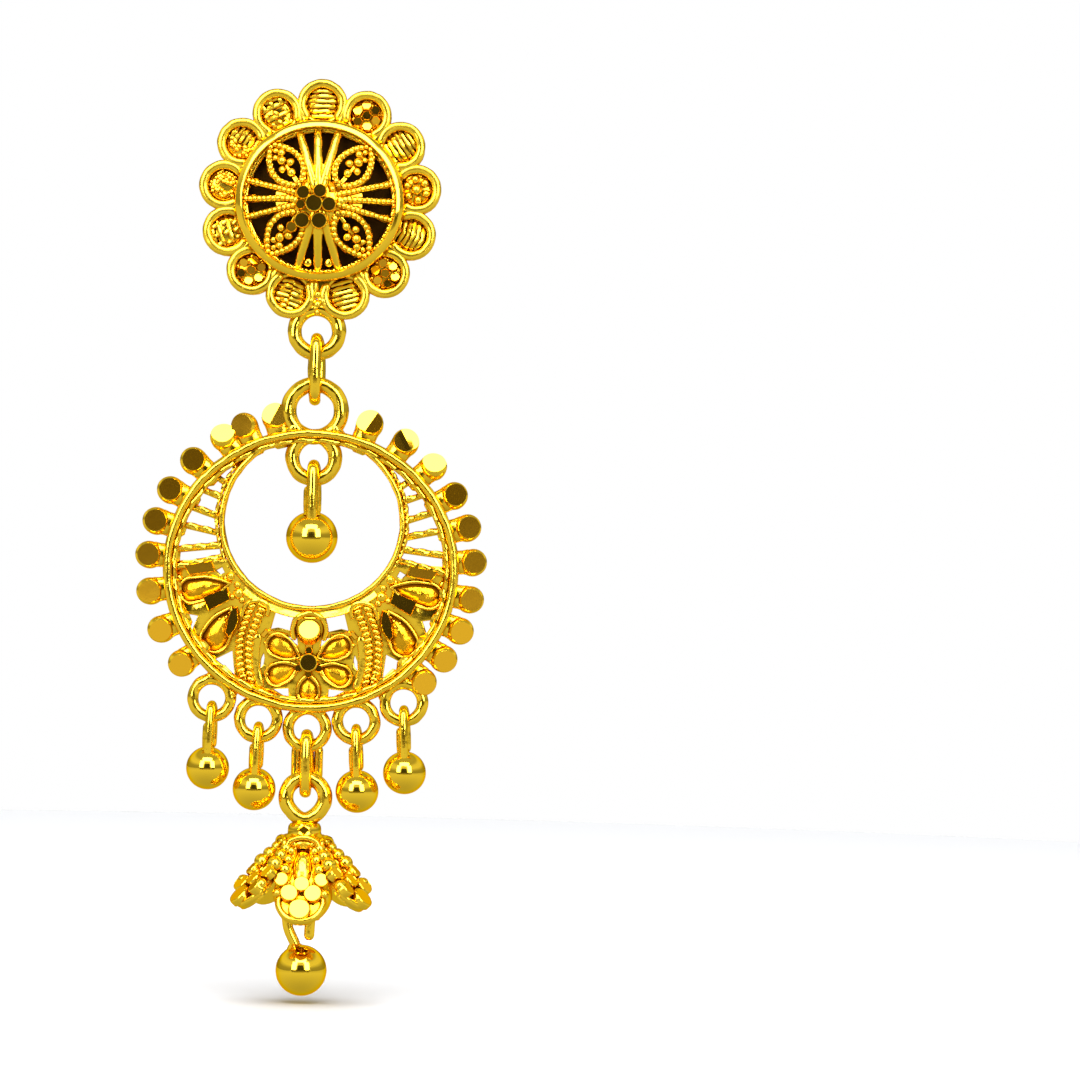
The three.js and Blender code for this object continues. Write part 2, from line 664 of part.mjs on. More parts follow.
// The lowest ball: its wire rises beside the ball, bends over the bar in the bell and ends in a stub.
function bottomDrop() {
  const { wire, bend, stubY, ball, ballY } = BOTTOM_DROP;
  const topY = BELL.barY + BELL.barWire + wire + LINK_GAP;
  const hook = new THREE.CatmullRomCurve3([
    new THREE.Vector3(-bend * 0.55, ballY + 1.2, 0),
    new THREE.Vector3(-bend * 0.9, ballY + 2.3, 0),
    new THREE.Vector3(-bend, topY - bend, 0),
    new THREE.Vector3(-bend * 0.7, topY - bend * 0.3, 0),
    new THREE.Vector3(0, topY, 0),
    new THREE.Vector3(bend * 0.7, topY - bend * 0.3, 0),
    new THREE.Vector3(bend, topY - bend, 0),
    new THREE.Vector3(bend, stubY, 0),
  ]);
  const section = new THREE.Shape(ovalPath(0, 0, wire, wire, 6).getPoints());
  return joined([
    solid(new THREE.ExtrudeGeometry(section, { extrudePath: hook, steps: 14, bevelEnabled: false })),
    solid(new THREE.SphereGeometry(ball, 12, 8).translate(0, ballY, 0)),
  ]);
}

// ---------------------------------------------------------------- assembly
const earring = new THREE.Group();
earring.rotation.x = Math.PI / 2;
earring.add(meshOf("stud_flower", studFlower(), castGold));
earring.add(meshOf("stud_dome", studDome(), polishedGold));
earring.add(meshOf("stud_ground_plate", studGround(), darkGround));
earring.add(meshOf("ear_post", earPost(), postBrass));

const linkTop = STUD_RING.y - STUD_RING.radius + STUD_RING.wire + LINK.wire + LINK_GAP;
const link = longLink(LINK.reach, LINK.wire, LINK.bottomY + LINK.reach, linkTop - LINK.reach);
const linkMesh = meshOf("connector_link", solid(link), goldPlate);
linkMesh.position.z = HANG_PLANE;
earring.add(linkMesh);

const crescent = new THREE.Group();
crescent.position.set(0, CRESCENT.y, HANG_PLANE);
crescent.add(meshOf("crescent_frame", crescentFrame(), castGold));
const centreDropTop = INNER_RING.y - INNER_RING.radius + INNER_RING.wire + CENTRE_DROP.wire + LINK_GAP;
const centreDrop = ballDrop(CENTRE_DROP, centreDropTop, CENTRE_DROP.ballY, INNER_RING.wire);
crescent.add(meshOf("centre_ball_drop", centreDrop, polishedGold));
const smallDropTop = -DROP_RING.radius + DROP_RING.wire + SMALL_DROP.wire + LINK_GAP;
for (const { name, x, y } of DROP_RINGS) {
  if (name === "centre") continue;
  const smallDrop = ballDrop(SMALL_DROP, smallDropTop, -SMALL_DROP.below, DROP_RING.wire);
  const drop = meshOf(`ball_drop_${name}`, smallDrop, polishedGold);
  drop.position.set(x, y, 0);
  crescent.add(drop);
}
earring.add(crescent);

const bellRing = DROP_RINGS.find(({ name }) => name === "centre");
const bellRingSeat = CRESCENT.y + bellRing.y - DROP_RING.radius + DROP_RING.wire;
const bellLinkTop = bellRingSeat + BELL_LINK.wire + LINK_GAP;
const { reach, wire, bottomY } = BELL_LINK;
const backCoil = wireRing(BACK_COIL.radius, BACK_COIL.wire, 14, 6).rotateZ(Math.PI / 14);
reshape(backCoil, (v) => {
  v.y += Math.sign(v.y) * BACK_COIL.stretch + (bellLinkTop + bottomY) / 2;
  v.z -= BACK_COIL.behind;
});
const bellLink = joined([
  solid(longLink(reach, wire, bottomY + reach, bellLinkTop - reach)),
  solid(backCoil),
]);
const bellLinkMesh = meshOf("bell_link", bellLink, goldPlate);
bellLinkMesh.position.z = HANG_PLANE;
earring.add(bellLinkMesh);

const bell = new THREE.Group();
bell.position.set(0, BELL_LINK.bottomY, HANG_PLANE);
bell.add(meshOf("bell_flower", bellCap(), castGold));
bell.add(meshOf("bottom_ball_drop", bottomDrop(), polishedGold));
earring.add(bell);

export default earring;
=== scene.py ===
"""Chandbali earring of gold-plated cast brass: a flower stud, an open crescent with ball drops
that swings from it on a wire link, and a bell-shaped flower with a last ball under the crescent.

Each piece is drawn in millimetres as it is seen from the front (x across, y up, z towards the
viewer) and is then set in its place in the frame.
"""

import json
import math
import random

import bmesh
import bpy
from mathutils import Matrix, Vector, geometry, noise


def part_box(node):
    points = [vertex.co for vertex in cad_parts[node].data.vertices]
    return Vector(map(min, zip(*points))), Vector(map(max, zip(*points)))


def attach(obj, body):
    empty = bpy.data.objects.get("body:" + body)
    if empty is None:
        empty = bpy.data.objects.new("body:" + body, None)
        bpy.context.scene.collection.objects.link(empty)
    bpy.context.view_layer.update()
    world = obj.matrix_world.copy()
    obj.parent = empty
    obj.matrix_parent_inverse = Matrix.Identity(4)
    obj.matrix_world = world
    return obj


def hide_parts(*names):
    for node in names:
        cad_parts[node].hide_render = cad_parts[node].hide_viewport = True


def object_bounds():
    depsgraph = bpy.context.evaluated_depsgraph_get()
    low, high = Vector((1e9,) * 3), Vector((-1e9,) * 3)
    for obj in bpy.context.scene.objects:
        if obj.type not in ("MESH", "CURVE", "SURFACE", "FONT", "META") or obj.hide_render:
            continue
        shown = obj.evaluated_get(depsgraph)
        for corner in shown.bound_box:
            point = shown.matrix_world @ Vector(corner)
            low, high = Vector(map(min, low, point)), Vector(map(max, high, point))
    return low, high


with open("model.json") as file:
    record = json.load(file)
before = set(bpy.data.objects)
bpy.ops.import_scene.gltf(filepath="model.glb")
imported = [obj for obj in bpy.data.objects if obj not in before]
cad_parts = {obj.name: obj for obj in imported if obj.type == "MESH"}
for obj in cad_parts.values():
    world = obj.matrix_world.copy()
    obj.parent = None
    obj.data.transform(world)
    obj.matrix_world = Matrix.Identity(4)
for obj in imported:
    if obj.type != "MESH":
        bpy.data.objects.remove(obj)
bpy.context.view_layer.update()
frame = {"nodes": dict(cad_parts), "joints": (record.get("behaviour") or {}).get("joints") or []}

# ------------------------------------------------------------------------------- stud: petal plate
# The stud's body is one casting: a thin plate whose edge is thirteen round petals, each with a
# raised rim round an open pocket. It is cast in brass, tumbled bright and gold plated.
MM = 0.001
FRONT = Matrix(((MM, 0, 0, 0), (0, 0, -MM, 0), (0, MM, 0, 0), (0, 0, 0, 1)))
TOWARDS = Vector((0, 0, 1))
SIDEWAYS = Vector((1, 0, 0))
CUT_FACE = 1  # where the cut gold stands among a piece's materials

PETAL_PITCH = 27.3  # the last space, at the bottom, is wider and takes the ring
PETAL_ANGLES = [90 + (k - 6) * PETAL_PITCH for k in range(13)]
PETAL_CENTRE = 6.67
PETAL_RADIUS = 1.8
POCKET_MIDDLE = 6.78
POCKET_LONG = 1.16
POCKET_WIDE = 1.18
RIM_TOP = 1.58
BEZEL_OVAL = 0.955  # the bezel's height over its width
DOME_HOLE = 4.95

dark_low, dark_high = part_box("stud_ground_plate")
STUD_PLACE = Matrix.Translation((
    (dark_low.x + dark_high.x) / 2,
    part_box("stud_flower")[1].y,
    (dark_low.z + dark_high.z) / 2,
))


def colour(code):
    """A colour given as sRGB hex, as the linear values that a shader takes."""
    parts = [int(code[i:i + 2], 16) / 255 for i in (1, 3, 5)]
    return [p / 12.92 if p <= 0.04045 else ((p + 0.055) / 1.055) ** 2.4 for p in parts] + [1.0]


def add_node(tree, kind, settings=None, **inputs):
    """Adds a node. A setting is a property; an input is a value or the socket that feeds it."""
    node = tree.nodes.new(kind)
    for key, value in (settings or {}).items():
        setattr(node, key, value)
    for key, value in inputs.items():
        socket = node.inputs[int(key[1:])] if key[1:].isdigit() else node.inputs[key.replace("_", " ")]
        if isinstance(value, bpy.types.NodeSocket):
            tree.links.new(value, socket)
        else:
            socket.default_value = value
    return node


def gold_plate(name, open_colour, painted_hollow_shade, smoothest, roughest, skin_mm, skin_depth):
    """Gold plate on brass: yellow where it is open, with a painted shade in the hollows, where ambient occlusion
    turns the colour amber in place of light bounced from gold to gold, and a fine uneven skin that the casting or the
    polishing left."""
    material = bpy.data.materials.new(name)
    material.use_nodes = True
    tree = material.node_tree
    tree.nodes.clear()
    place = add_node(tree, "ShaderNodeTexCoord").outputs["Object"]
    skin = add_node(tree, "ShaderNodeTexNoise", Vector=place, Scale=1 / (skin_mm * MM), Detail=3.0)
    patches = add_node(tree, "ShaderNodeTexNoise", Vector=place, Scale=1 / (3.0 * MM), Detail=2.0)
    # painted shade: ambient occlusion turns the colour from the open yellow to the darker amber in hollows and
    # creases
    hollow_shade_ao = add_node(tree, "ShaderNodeAmbientOcclusion", {"samples": 8}, Distance=0.5 * MM)
    unshaded_share = add_node(
        tree, "ShaderNodeMapRange", Value=hollow_shade_ao.outputs["AO"], From_Min=0.25, From_Max=0.85)
    painted_shade_tint = add_node(
        tree, "ShaderNodeMix", {"data_type": "RGBA"}, Factor=unshaded_share.outputs["Result"],
        i6=colour(painted_hollow_shade), i7=colour(open_colour))
    rough = add_node(
        tree, "ShaderNodeMapRange", Value=patches.outputs["Fac"], From_Min=0.3, From_Max=0.7,
        To_Min=smoothest, To_Max=roughest)
    bump = add_node(
        tree, "ShaderNodeBump", Height=skin.outputs["Fac"], Strength=0.6, Distance=skin_depth * MM)
    shader = add_node(
        tree, "ShaderNodeBsdfPrincipled", Base_Color=painted_shade_tint.outputs[2], Metallic=1.0,
        Roughness=rough.outputs["Result"], Normal=bump.outputs["Normal"], Specular_Tint=colour("#FFD27A"))
    add_node(tree, "ShaderNodeOutputMaterial", Surface=shader.outputs["BSDF"])
    return material


# Cast and tumbled: bright, but never quite flat, with a skin of soft pits half a millimetre apart.
cast_gold = gold_plate("cast_gold_plate", "#FFD53E", "#C4920F", 0.1, 0.22, 0.5, 0.045)
# Polished by hand after casting: nearly a mirror, with long soft waves.
polished_gold = gold_plate("polished_gold_plate", "#FFD53E", "#CC9A10", 0.05, 0.1, 0.9, 0.01)


def oval(rx, ry, count, start=0.0, end=360.0, centre=(0, 0), out=0.0):
    """Points of an oval, from one angle to another; a whole oval doesn't repeat its first point."""
    whole = abs(end - start) >= 360
    angles = [math.radians(start + (end - start) * i / (count if whole else count - 1)) for i in range(count)]
    return [Vector((centre[0] + rx * math.cos(a), centre[1] + ry * math.sin(a), out)) for a in angles]


def moved_in(loop, by):
    """A closed outline with every point moved to its left, into the metal."""
    moved = []
    for i, here in enumerate(loop):
        into = (here - loop[i - 1]).xy.normalized()
        away = (loop[(i + 1) % len(loop)] - here).xy.normalized()
        left = Vector((-into.y - away.y, into.x + away.x))
        reach = by * 2 / max(left.length_squared, 1.2)
        moved.append(Vector((here.x + left.x * reach, here.y + left.y * reach, here.z)))
    return moved


def wound(loop, turn):
    """The outline as 3-D points, wound counter-clockwise for turn 1 and clockwise for -1."""
    points = [Vector((p[0], p[1], 0)) for p in loop]
    area = sum(points[i - 1].x * p.y - p.x * points[i - 1].y for i, p in enumerate(points))
    return points if area * turn > 0 else points[::-1]


def filled(bm, loops):
    """Flat faces between closed loops of vertices: inside the first and outside all the others."""
    flat = [v for loop in loops for v in loop]
    edges = []
    first = 0
    for loop in loops:
        edges += [(first + i, first + (i + 1) % len(loop)) for i in range(len(loop))]
        first += len(loop)
    points, _, corners, sources, _, _ = geometry.delaunay_2d_cdt([v.co.xy for v in flat], edges, [], 1, 1e-5)
    known = [
        flat[source[0]] if source else bm.verts.new((p.x, p.y, flat[0].co.z))
        for p, source in zip(points, sources)]
    made = []
    for corner in corners:
        x, y = sum((points[i] for i in corner), Vector((0, 0))) / 3
        crossings = 0
        for a, b in edges:
            (ax, ay), (bx, by) = flat[a].co.xy, flat[b].co.xy
            if (ay > y) != (by > y) and x < ax + (y - ay) * (bx - ax) / (by - ay):
                crossings += 1
        if crossings % 2:
            made.append(bm.faces.new([known[i] for i in corner]))
    return made


def smoothed(faces, finish=0):
    """Gives faces one of their piece's materials, and lets the light run smoothly over them."""
    for face in faces:
        face.material_index = finish
        face.smooth = True


def plate(bm, outline, holes=(), back=0.0, front=1.0, edge=0.1, steps=3):
    """A pierced plate whose front edges are rounded."""
    loops = [wound(outline, 1)] + [wound(hole, -1) for hole in holes]
    rings = []
    for loop in loops:
        rise = [(0.0, back)]
        for k in range(steps + 1):
            turn = math.radians(90 * k / steps)
            rise.append((edge * (1 - math.cos(turn)), front - edge * (1 - math.sin(turn))))
        rings.append([])
        for by, height in rise:
            ring = []
            for p in moved_in(loop, by) if by else loop:
                ring.append(bm.verts.new((p.x, p.y, height)))
            rings[-1].append(ring)
    made = []
    for stack in rings:
        for low, high in zip(stack, stack[1:]):
            for i in range(len(low)):
                made.append(bm.faces.new((low[i - 1], low[i], high[i], high[i - 1])))
    for level in (-1, 0):
        made += filled(bm, [stack[level] for stack in rings])
    smoothed(made)


# The noise takes its seed from the clock unless one is set, so a fixed seed gives every run the
# same unevenness.
noise.seed_set(13)


def piece(name, bm, place, materials, body, slot, *nodes, uneven=0.0, wave=0.9, sharp=38, slope=None):
    """Sets a drawn mesh in the frame as a named piece. Casting leaves surfaces a little uneven:
    uneven is how far they stray, and wave how long the waves are, in millimetres. slope raises
    each point by what the surface under it stands higher."""
    for v in bm.verts:
        if slope:
            v.co.z += slope(v.co.x, v.co.y)
        if uneven:
            v.co += noise.noise_vector(v.co / wave) * uneven
    bmesh.ops.recalc_face_normals(bm, faces=bm.faces)
    mesh = bpy.data.meshes.new(name)
    bm.to_mesh(mesh)
    bm.free()
    mesh.transform(place @ FRONT)
    mesh.set_sharp_from_angle(angle=math.radians(sharp))
    for material in materials:
        mesh.materials.append(material)
    made = bpy.data.objects.new(name, mesh)
    bpy.context.scene.collection.objects.link(made)
    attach(made, body)
    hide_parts(*nodes)
    return made


def petal_edge(radius, steps):
    """The outline of the thirteen petals, as their overlapping circles give it."""
    points = []
    for angle, following in zip(PETAL_ANGLES, PETAL_ANGLES[1:] + [PETAL_ANGLES[0] + 360]):
        for i in range(steps):
            a = angle + (following - angle) * i / steps
            reach = PETAL_CENTRE - 0.2
            for lobe in PETAL_ANGLES:
                across = PETAL_CENTRE * math.sin(math.radians(a - lobe))
                ahead = PETAL_CENTRE * math.cos(math.radians(a - lobe))
                if ahead > 0 and abs(across) < radius:
                    reach = max(reach, ahead + math.sqrt(radius ** 2 - across ** 2))
            points.append((reach * math.cos(math.radians(a)), reach * math.sin(math.radians(a))))
    return points


def pocket(angle, grow=0.0, out=0.0, reach=180, count=30):
    """The oval of one petal's pocket, made larger all round by grow; all of it, or as much as lies
    within reach degrees of the petal's end."""
    turn = Matrix.Rotation(math.radians(angle), 3, "Z")
    size = (POCKET_LONG + grow, POCKET_WIDE + grow)
    return [turn @ p for p in oval(*size, count, -reach, reach, (POCKET_MIDDLE, 0), out)]


bm = bmesh.new()
inside_bezel = oval(DOME_HOLE, DOME_HOLE * BEZEL_OVAL, 64)
openings = [inside_bezel] + [pocket(angle) for angle in PETAL_ANGLES]
plate(bm, petal_edge(PETAL_RADIUS - 0.04, 12), openings, 0.12, 1.36, 0.2, 4)
plate(bm, petal_edge(PETAL_RADIUS - 0.1, 8), [], 0.0, 0.72, 0.05, 1)
piece("stud_petal_plate", bm, STUD_PLACE, [cast_gold], "stud", "cast_gold", "stud_flower", uneven=0.03)

# ------------------------------------------------------------------------------ stud: petal work
# A thick round rim runs round each petal, and its pocket is filled with raised work cast in one with
# the plate: ribs like laid wires, small rosettes, flat-cut scales or loose grains.
RIB_RADIUS = 0.155
WORK_FLOOR = 0.95
WORK_ROWS = [-0.88, -0.54, -0.19, 0.16, 0.51, 0.86, 1.0]  # where ribs lie, from the stud's middle outward
RIB_BEND = {"ribs": 0.0, "chevron": -0.22, "half ribs": 0.1}
GRAIN_COUNT = {"rosette": 18, "grains": 46, "mixed": 22, "scales": 20, "flats": 16}
SCALE_LEANS = (0.08, -0.43, 0.1, -0.41, 0.28, 0.05, -0.43)
# Clockwise from the petal left of the bottom one; the ring hangs between the last and the first.
PETAL_WORK = [
    "half ribs", "scales", "cross", "grains", "mixed", "cross", "ribs",
    "flats", "ribs", "rosette", "chevron", "scales", "ribs",
]


def tube(bm, path, radius, up=TOWARDS, sides=12, closed=False, flat=1.0, twist=None, finish=0):
    """A wire swept along a path. up is a way the path never runs, flat is its height over its
    width, and twist gives the pitch and the depth of the ridges of a twisted wire."""
    count = len(path)
    radii = list(radius) if isinstance(radius, (list, tuple)) else [radius] * count
    stations = []
    travelled = 0.0
    for i, here in enumerate(path):
        before = path[i - 1] if i or closed else here
        after = path[(i + 1) % count] if closed or i + 1 < count else here
        along = (after - before).normalized()
        across = along.cross(up).normalized()
        stations.append([here, along, across, across.cross(along), radii[i], travelled])
        travelled += (path[(i + 1) % count] - here).length
    if not closed:
        for at_end, sign in ((0, -1), (-1, 1)):
            here, along, across, high, r, way = stations[at_end]
            round_end = [[here + along * (sign * r * s), along, across, high, r * c, way]
                         for s, c in ((0.55, 0.83), (0.9, 0.42))]
            stations = round_end[::-1] + stations if sign < 0 else stations + round_end
    rings = []
    for here, along, across, high, r, way in stations:
        ring = []
        for k in range(sides):
            a = 2 * math.pi * k / sides
            swell = 1 + twist[1] * math.cos(2 * a - 2 * math.pi * way / twist[0]) if twist else 1
            ring.append(bm.verts.new(here + (across * math.cos(a) + high * (math.sin(a) * flat)) * (r * swell)))
        rings.append(ring)
    made = []
    pairs = list(zip(rings, rings[1:])) + ([(rings[-1], rings[0])] if closed else [])
    for low, top in pairs:
        for k in range(sides):
            made.append(bm.faces.new((low[k - 1], low[k], top[k], top[k - 1])))
    if not closed:
        made += [bm.faces.new(rings[0]), bm.faces.new(rings[-1][::-1])]
    smoothed(made, finish)


def lump(bm, place, radius, detail):
    """A ball of metal, set in its place and stretched by a matrix."""
    made = bmesh.ops.create_icosphere(bm, subdivisions=detail, radius=radius, matrix=place)
    smoothed({face for v in made["verts"] for face in v.link_faces})


def ball(bm, centre, radius, detail=2, flat=1.0):
    """A grain: a little ball of metal, flattened towards the viewer if flat is under 1."""
    lump(bm, Matrix.Translation(centre) @ Matrix.Diagonal((1, 1, flat, 1)), radius, detail)


def turned(bm, profile, segments, place=None, finish=0, closed=False):
    """A profile of (radius, height) pairs turned about the z axis, then set in its place."""
    place = place or Matrix()
    rings = []
    for r, height in profile:
        line = oval(r, r, segments if r else 1, out=height)
        rings.append([bm.verts.new(place @ p) for p in line])
    made = []
    pairs = list(zip(rings, rings[1:])) + ([(rings[-1], rings[0])] if closed else [])
    for low, top in pairs:
        for k in range(segments):
            corners = [low[(k - 1) % len(low)], low[k % len(low)], top[k % len(top)], top[(k - 1) % len(top)]]
            made.append(bm.faces.new(list(dict.fromkeys(corners))))
    for end, ring in ((0, rings[0]), (1, rings[-1])):
        if len(ring) > 2 and not closed:
            made.append(bm.faces.new(ring if end else ring[::-1]))
    smoothed(made, finish)


def facet(bm, at, radius, height, sides=12, lean=None):
    """A small post whose end is cut to a bright flat face inside a thin raised rim."""
    place = Matrix.Translation(at) @ (lean or Matrix())
    profile = [
        (radius * 0.86, 0.0), (radius * 0.93, 0.035), (radius, 0.0), (radius * 1.05, -0.1),
        (radius * 1.06, -height),
    ]
    turned(bm, profile, sides, place)
    face = bm.faces.new([bm.verts.new(place @ p) for p in oval(radius * 0.88, radius * 0.88, sides, out=0.012)])
    face.material_index = CUT_FACE
    face.smooth = False


# Diamond cut: a tool with a polished edge shaves one flat face, which mirrors its surroundings
# and is never quite even, so its tone drifts from one side to the other.
cut_gold = gold_plate("diamond_cut_gold_plate", "#FFC536", "#E0A412", 0.06, 0.14, 1.6, 0.006)


def rib(bm, to_world, along, half, bend=0.0, start=-1.0, end=1.0, radius=RIB_RADIUS):
    """One rib across a pocket, a laid wire that swells and thins a little as it goes; along is
    measured from the pocket's middle, and half is half its length."""
    steps = 9
    path = []
    radii = []
    for i in range(steps):
        s = start + (end - start) * i / (steps - 1)
        crown = 0.34 * (1 - (s * half) ** 2 / 1.3) - 0.1 * abs(along)
        path.append(to_world @ Vector((along + bend * abs(s), s * half, WORK_FLOOR + crown)))
        radii.append(radius * (1 + 0.22 * math.sin(5 * along + 7.3 * s)))
    tube(bm, path, radii, sides=8)


def pocket_work(bm, angle, kind, dice):
    """Fills one petal's pocket with its kind of work."""
    to_world = Matrix.Rotation(math.radians(angle), 4, "Z") @ Matrix.Translation((POCKET_MIDDLE, 0, 0))

    def half_at(along):
        return POCKET_WIDE * math.sqrt(max(0.08, 1 - (along / (POCKET_LONG + 0.06)) ** 2))

    if kind in RIB_BEND:
        bend = RIB_BEND[kind]
        for along in WORK_ROWS[:6]:
            if kind == "half ribs":
                rib(bm, to_world, along, half_at(along), bend, -1.0, -0.12)
                rib(bm, to_world, along + 0.12, half_at(along), bend, 0.12, 1.0)
            else:
                rib(bm, to_world, along, half_at(along), bend)
    if kind == "cross":
        for along in WORK_ROWS[::2]:
            rib(bm, to_world, along, half_at(along))
            for s in (-0.6, 0.0, 0.6):
                lift = 0.3 * (1 - s * s)
                ends = [Vector((along, s * half_at(along), WORK_FLOOR + lift)),
                        Vector((along + 0.3, s * half_at(along) + 0.12, WORK_FLOOR + lift + 0.1))]
                tube(bm, [to_world @ p for p in ends], 0.16, sides=8)
    if kind == "mixed":
        for along in WORK_ROWS[:6]:
            rib(bm, to_world, along, half_at(along), 0.0, -1.0, -0.05)
    if kind in ("rosette", "flats", "scales"):
        for k in range(7):
            a = math.radians(60 * k + 30)
            orbit, lift, size = (0.73, 0.34, 0.31) if k else (0.0, 0.42, 0.37)
            at = to_world @ Vector((orbit * math.cos(a), orbit * math.sin(a), WORK_FLOOR + lift))
            if kind == "rosette":
                ball(bm, at - Vector((0, 0, 0.1)), size)
            else:
                size, sides = (0.36, 6) if kind == "flats" else (0.33, 8)
                facet(bm, at, size, 0.5, sides, Matrix.Rotation(SCALE_LEANS[k], 4, "X"))
    ball(bm, to_world @ Vector((0, 0, WORK_FLOOR - 0.1)), 1.12, 3, flat=0.3)
    for _ in range(GRAIN_COUNT.get(kind, 0)):
        reach = math.sqrt(dice.uniform(0.05, 1.0))
        way = dice.uniform(0.1, math.pi - 0.1) if kind == "mixed" else dice.uniform(0, 2 * math.pi)
        if kind in ("rosette", "flats", "scales"):
            reach = dice.uniform(0.9, 1.0)
        lift = 0.3 * (1 - reach * reach)
        at = Vector((reach * 1.02 * math.cos(way), reach * 1.05 * math.sin(way), WORK_FLOOR + lift))
        ball(bm, to_world @ at, dice.uniform(0.14, 0.22))


# Burnished: the rims are rubbed with a steel by hand, so they shine softly and their lights run.
rubbed_gold = gold_plate("burnished_gold_plate", "#FFD53E", "#C4920F", 0.19, 0.3, 1.4, 0.04)

dice = random.Random(13)
bm = bmesh.new()
for angle, kind in zip(PETAL_ANGLES, reversed(PETAL_WORK)):
    pocket_work(bm, angle, kind, dice)
    tube(bm, pocket(angle, 0.25, RIM_TOP - 0.22, 128, 34), 0.31, sides=16, flat=0.62, finish=2)
    beside = math.radians(angle + PETAL_PITCH / 2)
    ridge = [
        Vector((r * math.cos(beside), r * math.sin(beside), RIM_TOP - 0.26)) for r in (5.8, 6.1, 6.45, 6.8, 7.1)]
    tube(bm, ridge, [0.36, 0.32, 0.26, 0.2, 0.14], sides=12, flat=0.6, finish=2)
piece("stud_petal_work", bm, STUD_PLACE, [cast_gold, cut_gold, rubbed_gold], "stud", "cast_gold", "stud_flower",
      uneven=0.03, wave=0.5)

# --------------------------------------------------------------------------------- stud: bezel
# A plain polished band holds the dome down on the plate; along its inner foot runs a twisted
# wire that shows as a row of bright dashes.
BEZEL_OUTER = 5.88
BEZEL_INNER = 5.3
BEZEL_TOP = 2.4

bm = bmesh.new()
middle = (BEZEL_OUTER + BEZEL_INNER) / 2
profile = [
    (BEZEL_INNER, 0.3), (BEZEL_INNER - 0.03, BEZEL_TOP - 0.2), (BEZEL_INNER + 0.02, BEZEL_TOP - 0.05),
    (BEZEL_INNER + 0.1, BEZEL_TOP), (middle, BEZEL_TOP - 0.06), (BEZEL_OUTER - 0.1, BEZEL_TOP - 0.15),
    (BEZEL_OUTER - 0.02, BEZEL_TOP - 0.25), (BEZEL_OUTER, BEZEL_TOP - 0.5), (BEZEL_OUTER, 0.3),
]
squeezed = Matrix.Diagonal((1, BEZEL_OVAL, 1, 1))
turned(bm, profile, 128, squeezed, closed=True)
ledge = [squeezed @ p for p in oval(BEZEL_INNER - 0.1, BEZEL_INNER - 0.1, 288, out=BEZEL_TOP - 0.42)]
tube(bm, ledge, 0.1, sides=8, closed=True, twist=(0.55, 0.3))
piece("stud_bezel", bm, STUD_PLACE, [polished_gold], "stud", "cast_gold", "stud_flower", uneven=0.008, wave=1.6)

# ---------------------------------------------------------------------------------- stud: dome
# The dome inside the bezel is open filigree, cast in one: plain tapered spokes above and below,
# beaded spokes left and right, and four beaded leaves with grains in them on the diagonals.
DOME_RADIUS = 5.22
LEAF_INNER = Vector((1.36, 1.0, 0))
LEAF_TIP = Vector((3.42, 3.98, 0))
LEAF_HALF_WIDTH = 1.1


def dome(x, y, above=0.0):
    """A point on the dome's skin, above the stud's back."""
    height = 1.82 + 1.42 * (1 - (x * x + y * y) / DOME_RADIUS ** 2)
    return Vector((x, y * BEZEL_OVAL, height + above))


def spaced(path, pitch):
    """Points an even distance apart along a path."""
    spots = []
    carried = 0.0
    for a, b in zip(path, path[1:]):
        length = (b - a).length
        while carried <= length:
            spots.append(a.lerp(b, carried / length if length else 0))
            carried += pitch
        carried -= length
    return spots


def beaded(bm, path, ridge, bead, pitch, lift=0.1, flat=0.75):
    """A low ridge of metal with a row of grains along its top."""
    tube(bm, path, ridge, sides=8, flat=flat)
    for spot in spaced(path, pitch):
        ball(bm, spot + Vector((0, 0, lift)), bead)


def on_bearing(degrees, reach, above=0.0):
    """A point on the dome, by its bearing and its distance from the middle."""
    a = math.radians(degrees)
    return dome(reach * math.cos(a), reach * math.sin(a), above)


def on_ray(degrees, r0, r1, steps, above=0.0):
    """Points on the dome from one distance from the middle to another."""
    return [on_bearing(degrees, r0 + (r1 - r0) * i / (steps - 1), above) for i in range(steps)]


def skin(bm, rows, thickness):
    """A curved sheet through rows of points, with its own thickness behind it."""
    fronts = [[bm.verts.new(p) for p in row] for row in rows]
    backs = [[bm.verts.new(p - Vector((0, 0, thickness))) for p in row] for row in rows]
    made = []
    last_row, last = len(rows) - 1, len(rows[0]) - 1
    for i in range(last_row):
        for j in range(last):
            made.append(bm.faces.new((fronts[i][j], fronts[i + 1][j], fronts[i + 1][j + 1], fronts[i][j + 1])))
            made.append(bm.faces.new((backs[i][j], backs[i][j + 1], backs[i + 1][j + 1], backs[i + 1][j])))
        for j in (0, last):
            made.append(bm.faces.new((fronts[i][j], fronts[i + 1][j], backs[i + 1][j], backs[i][j])))
    for j in range(last):
        for i in (0, last_row):
            made.append(bm.faces.new((fronts[i][j], fronts[i][j + 1], backs[i][j + 1], backs[i][j])))
    smoothed(made)


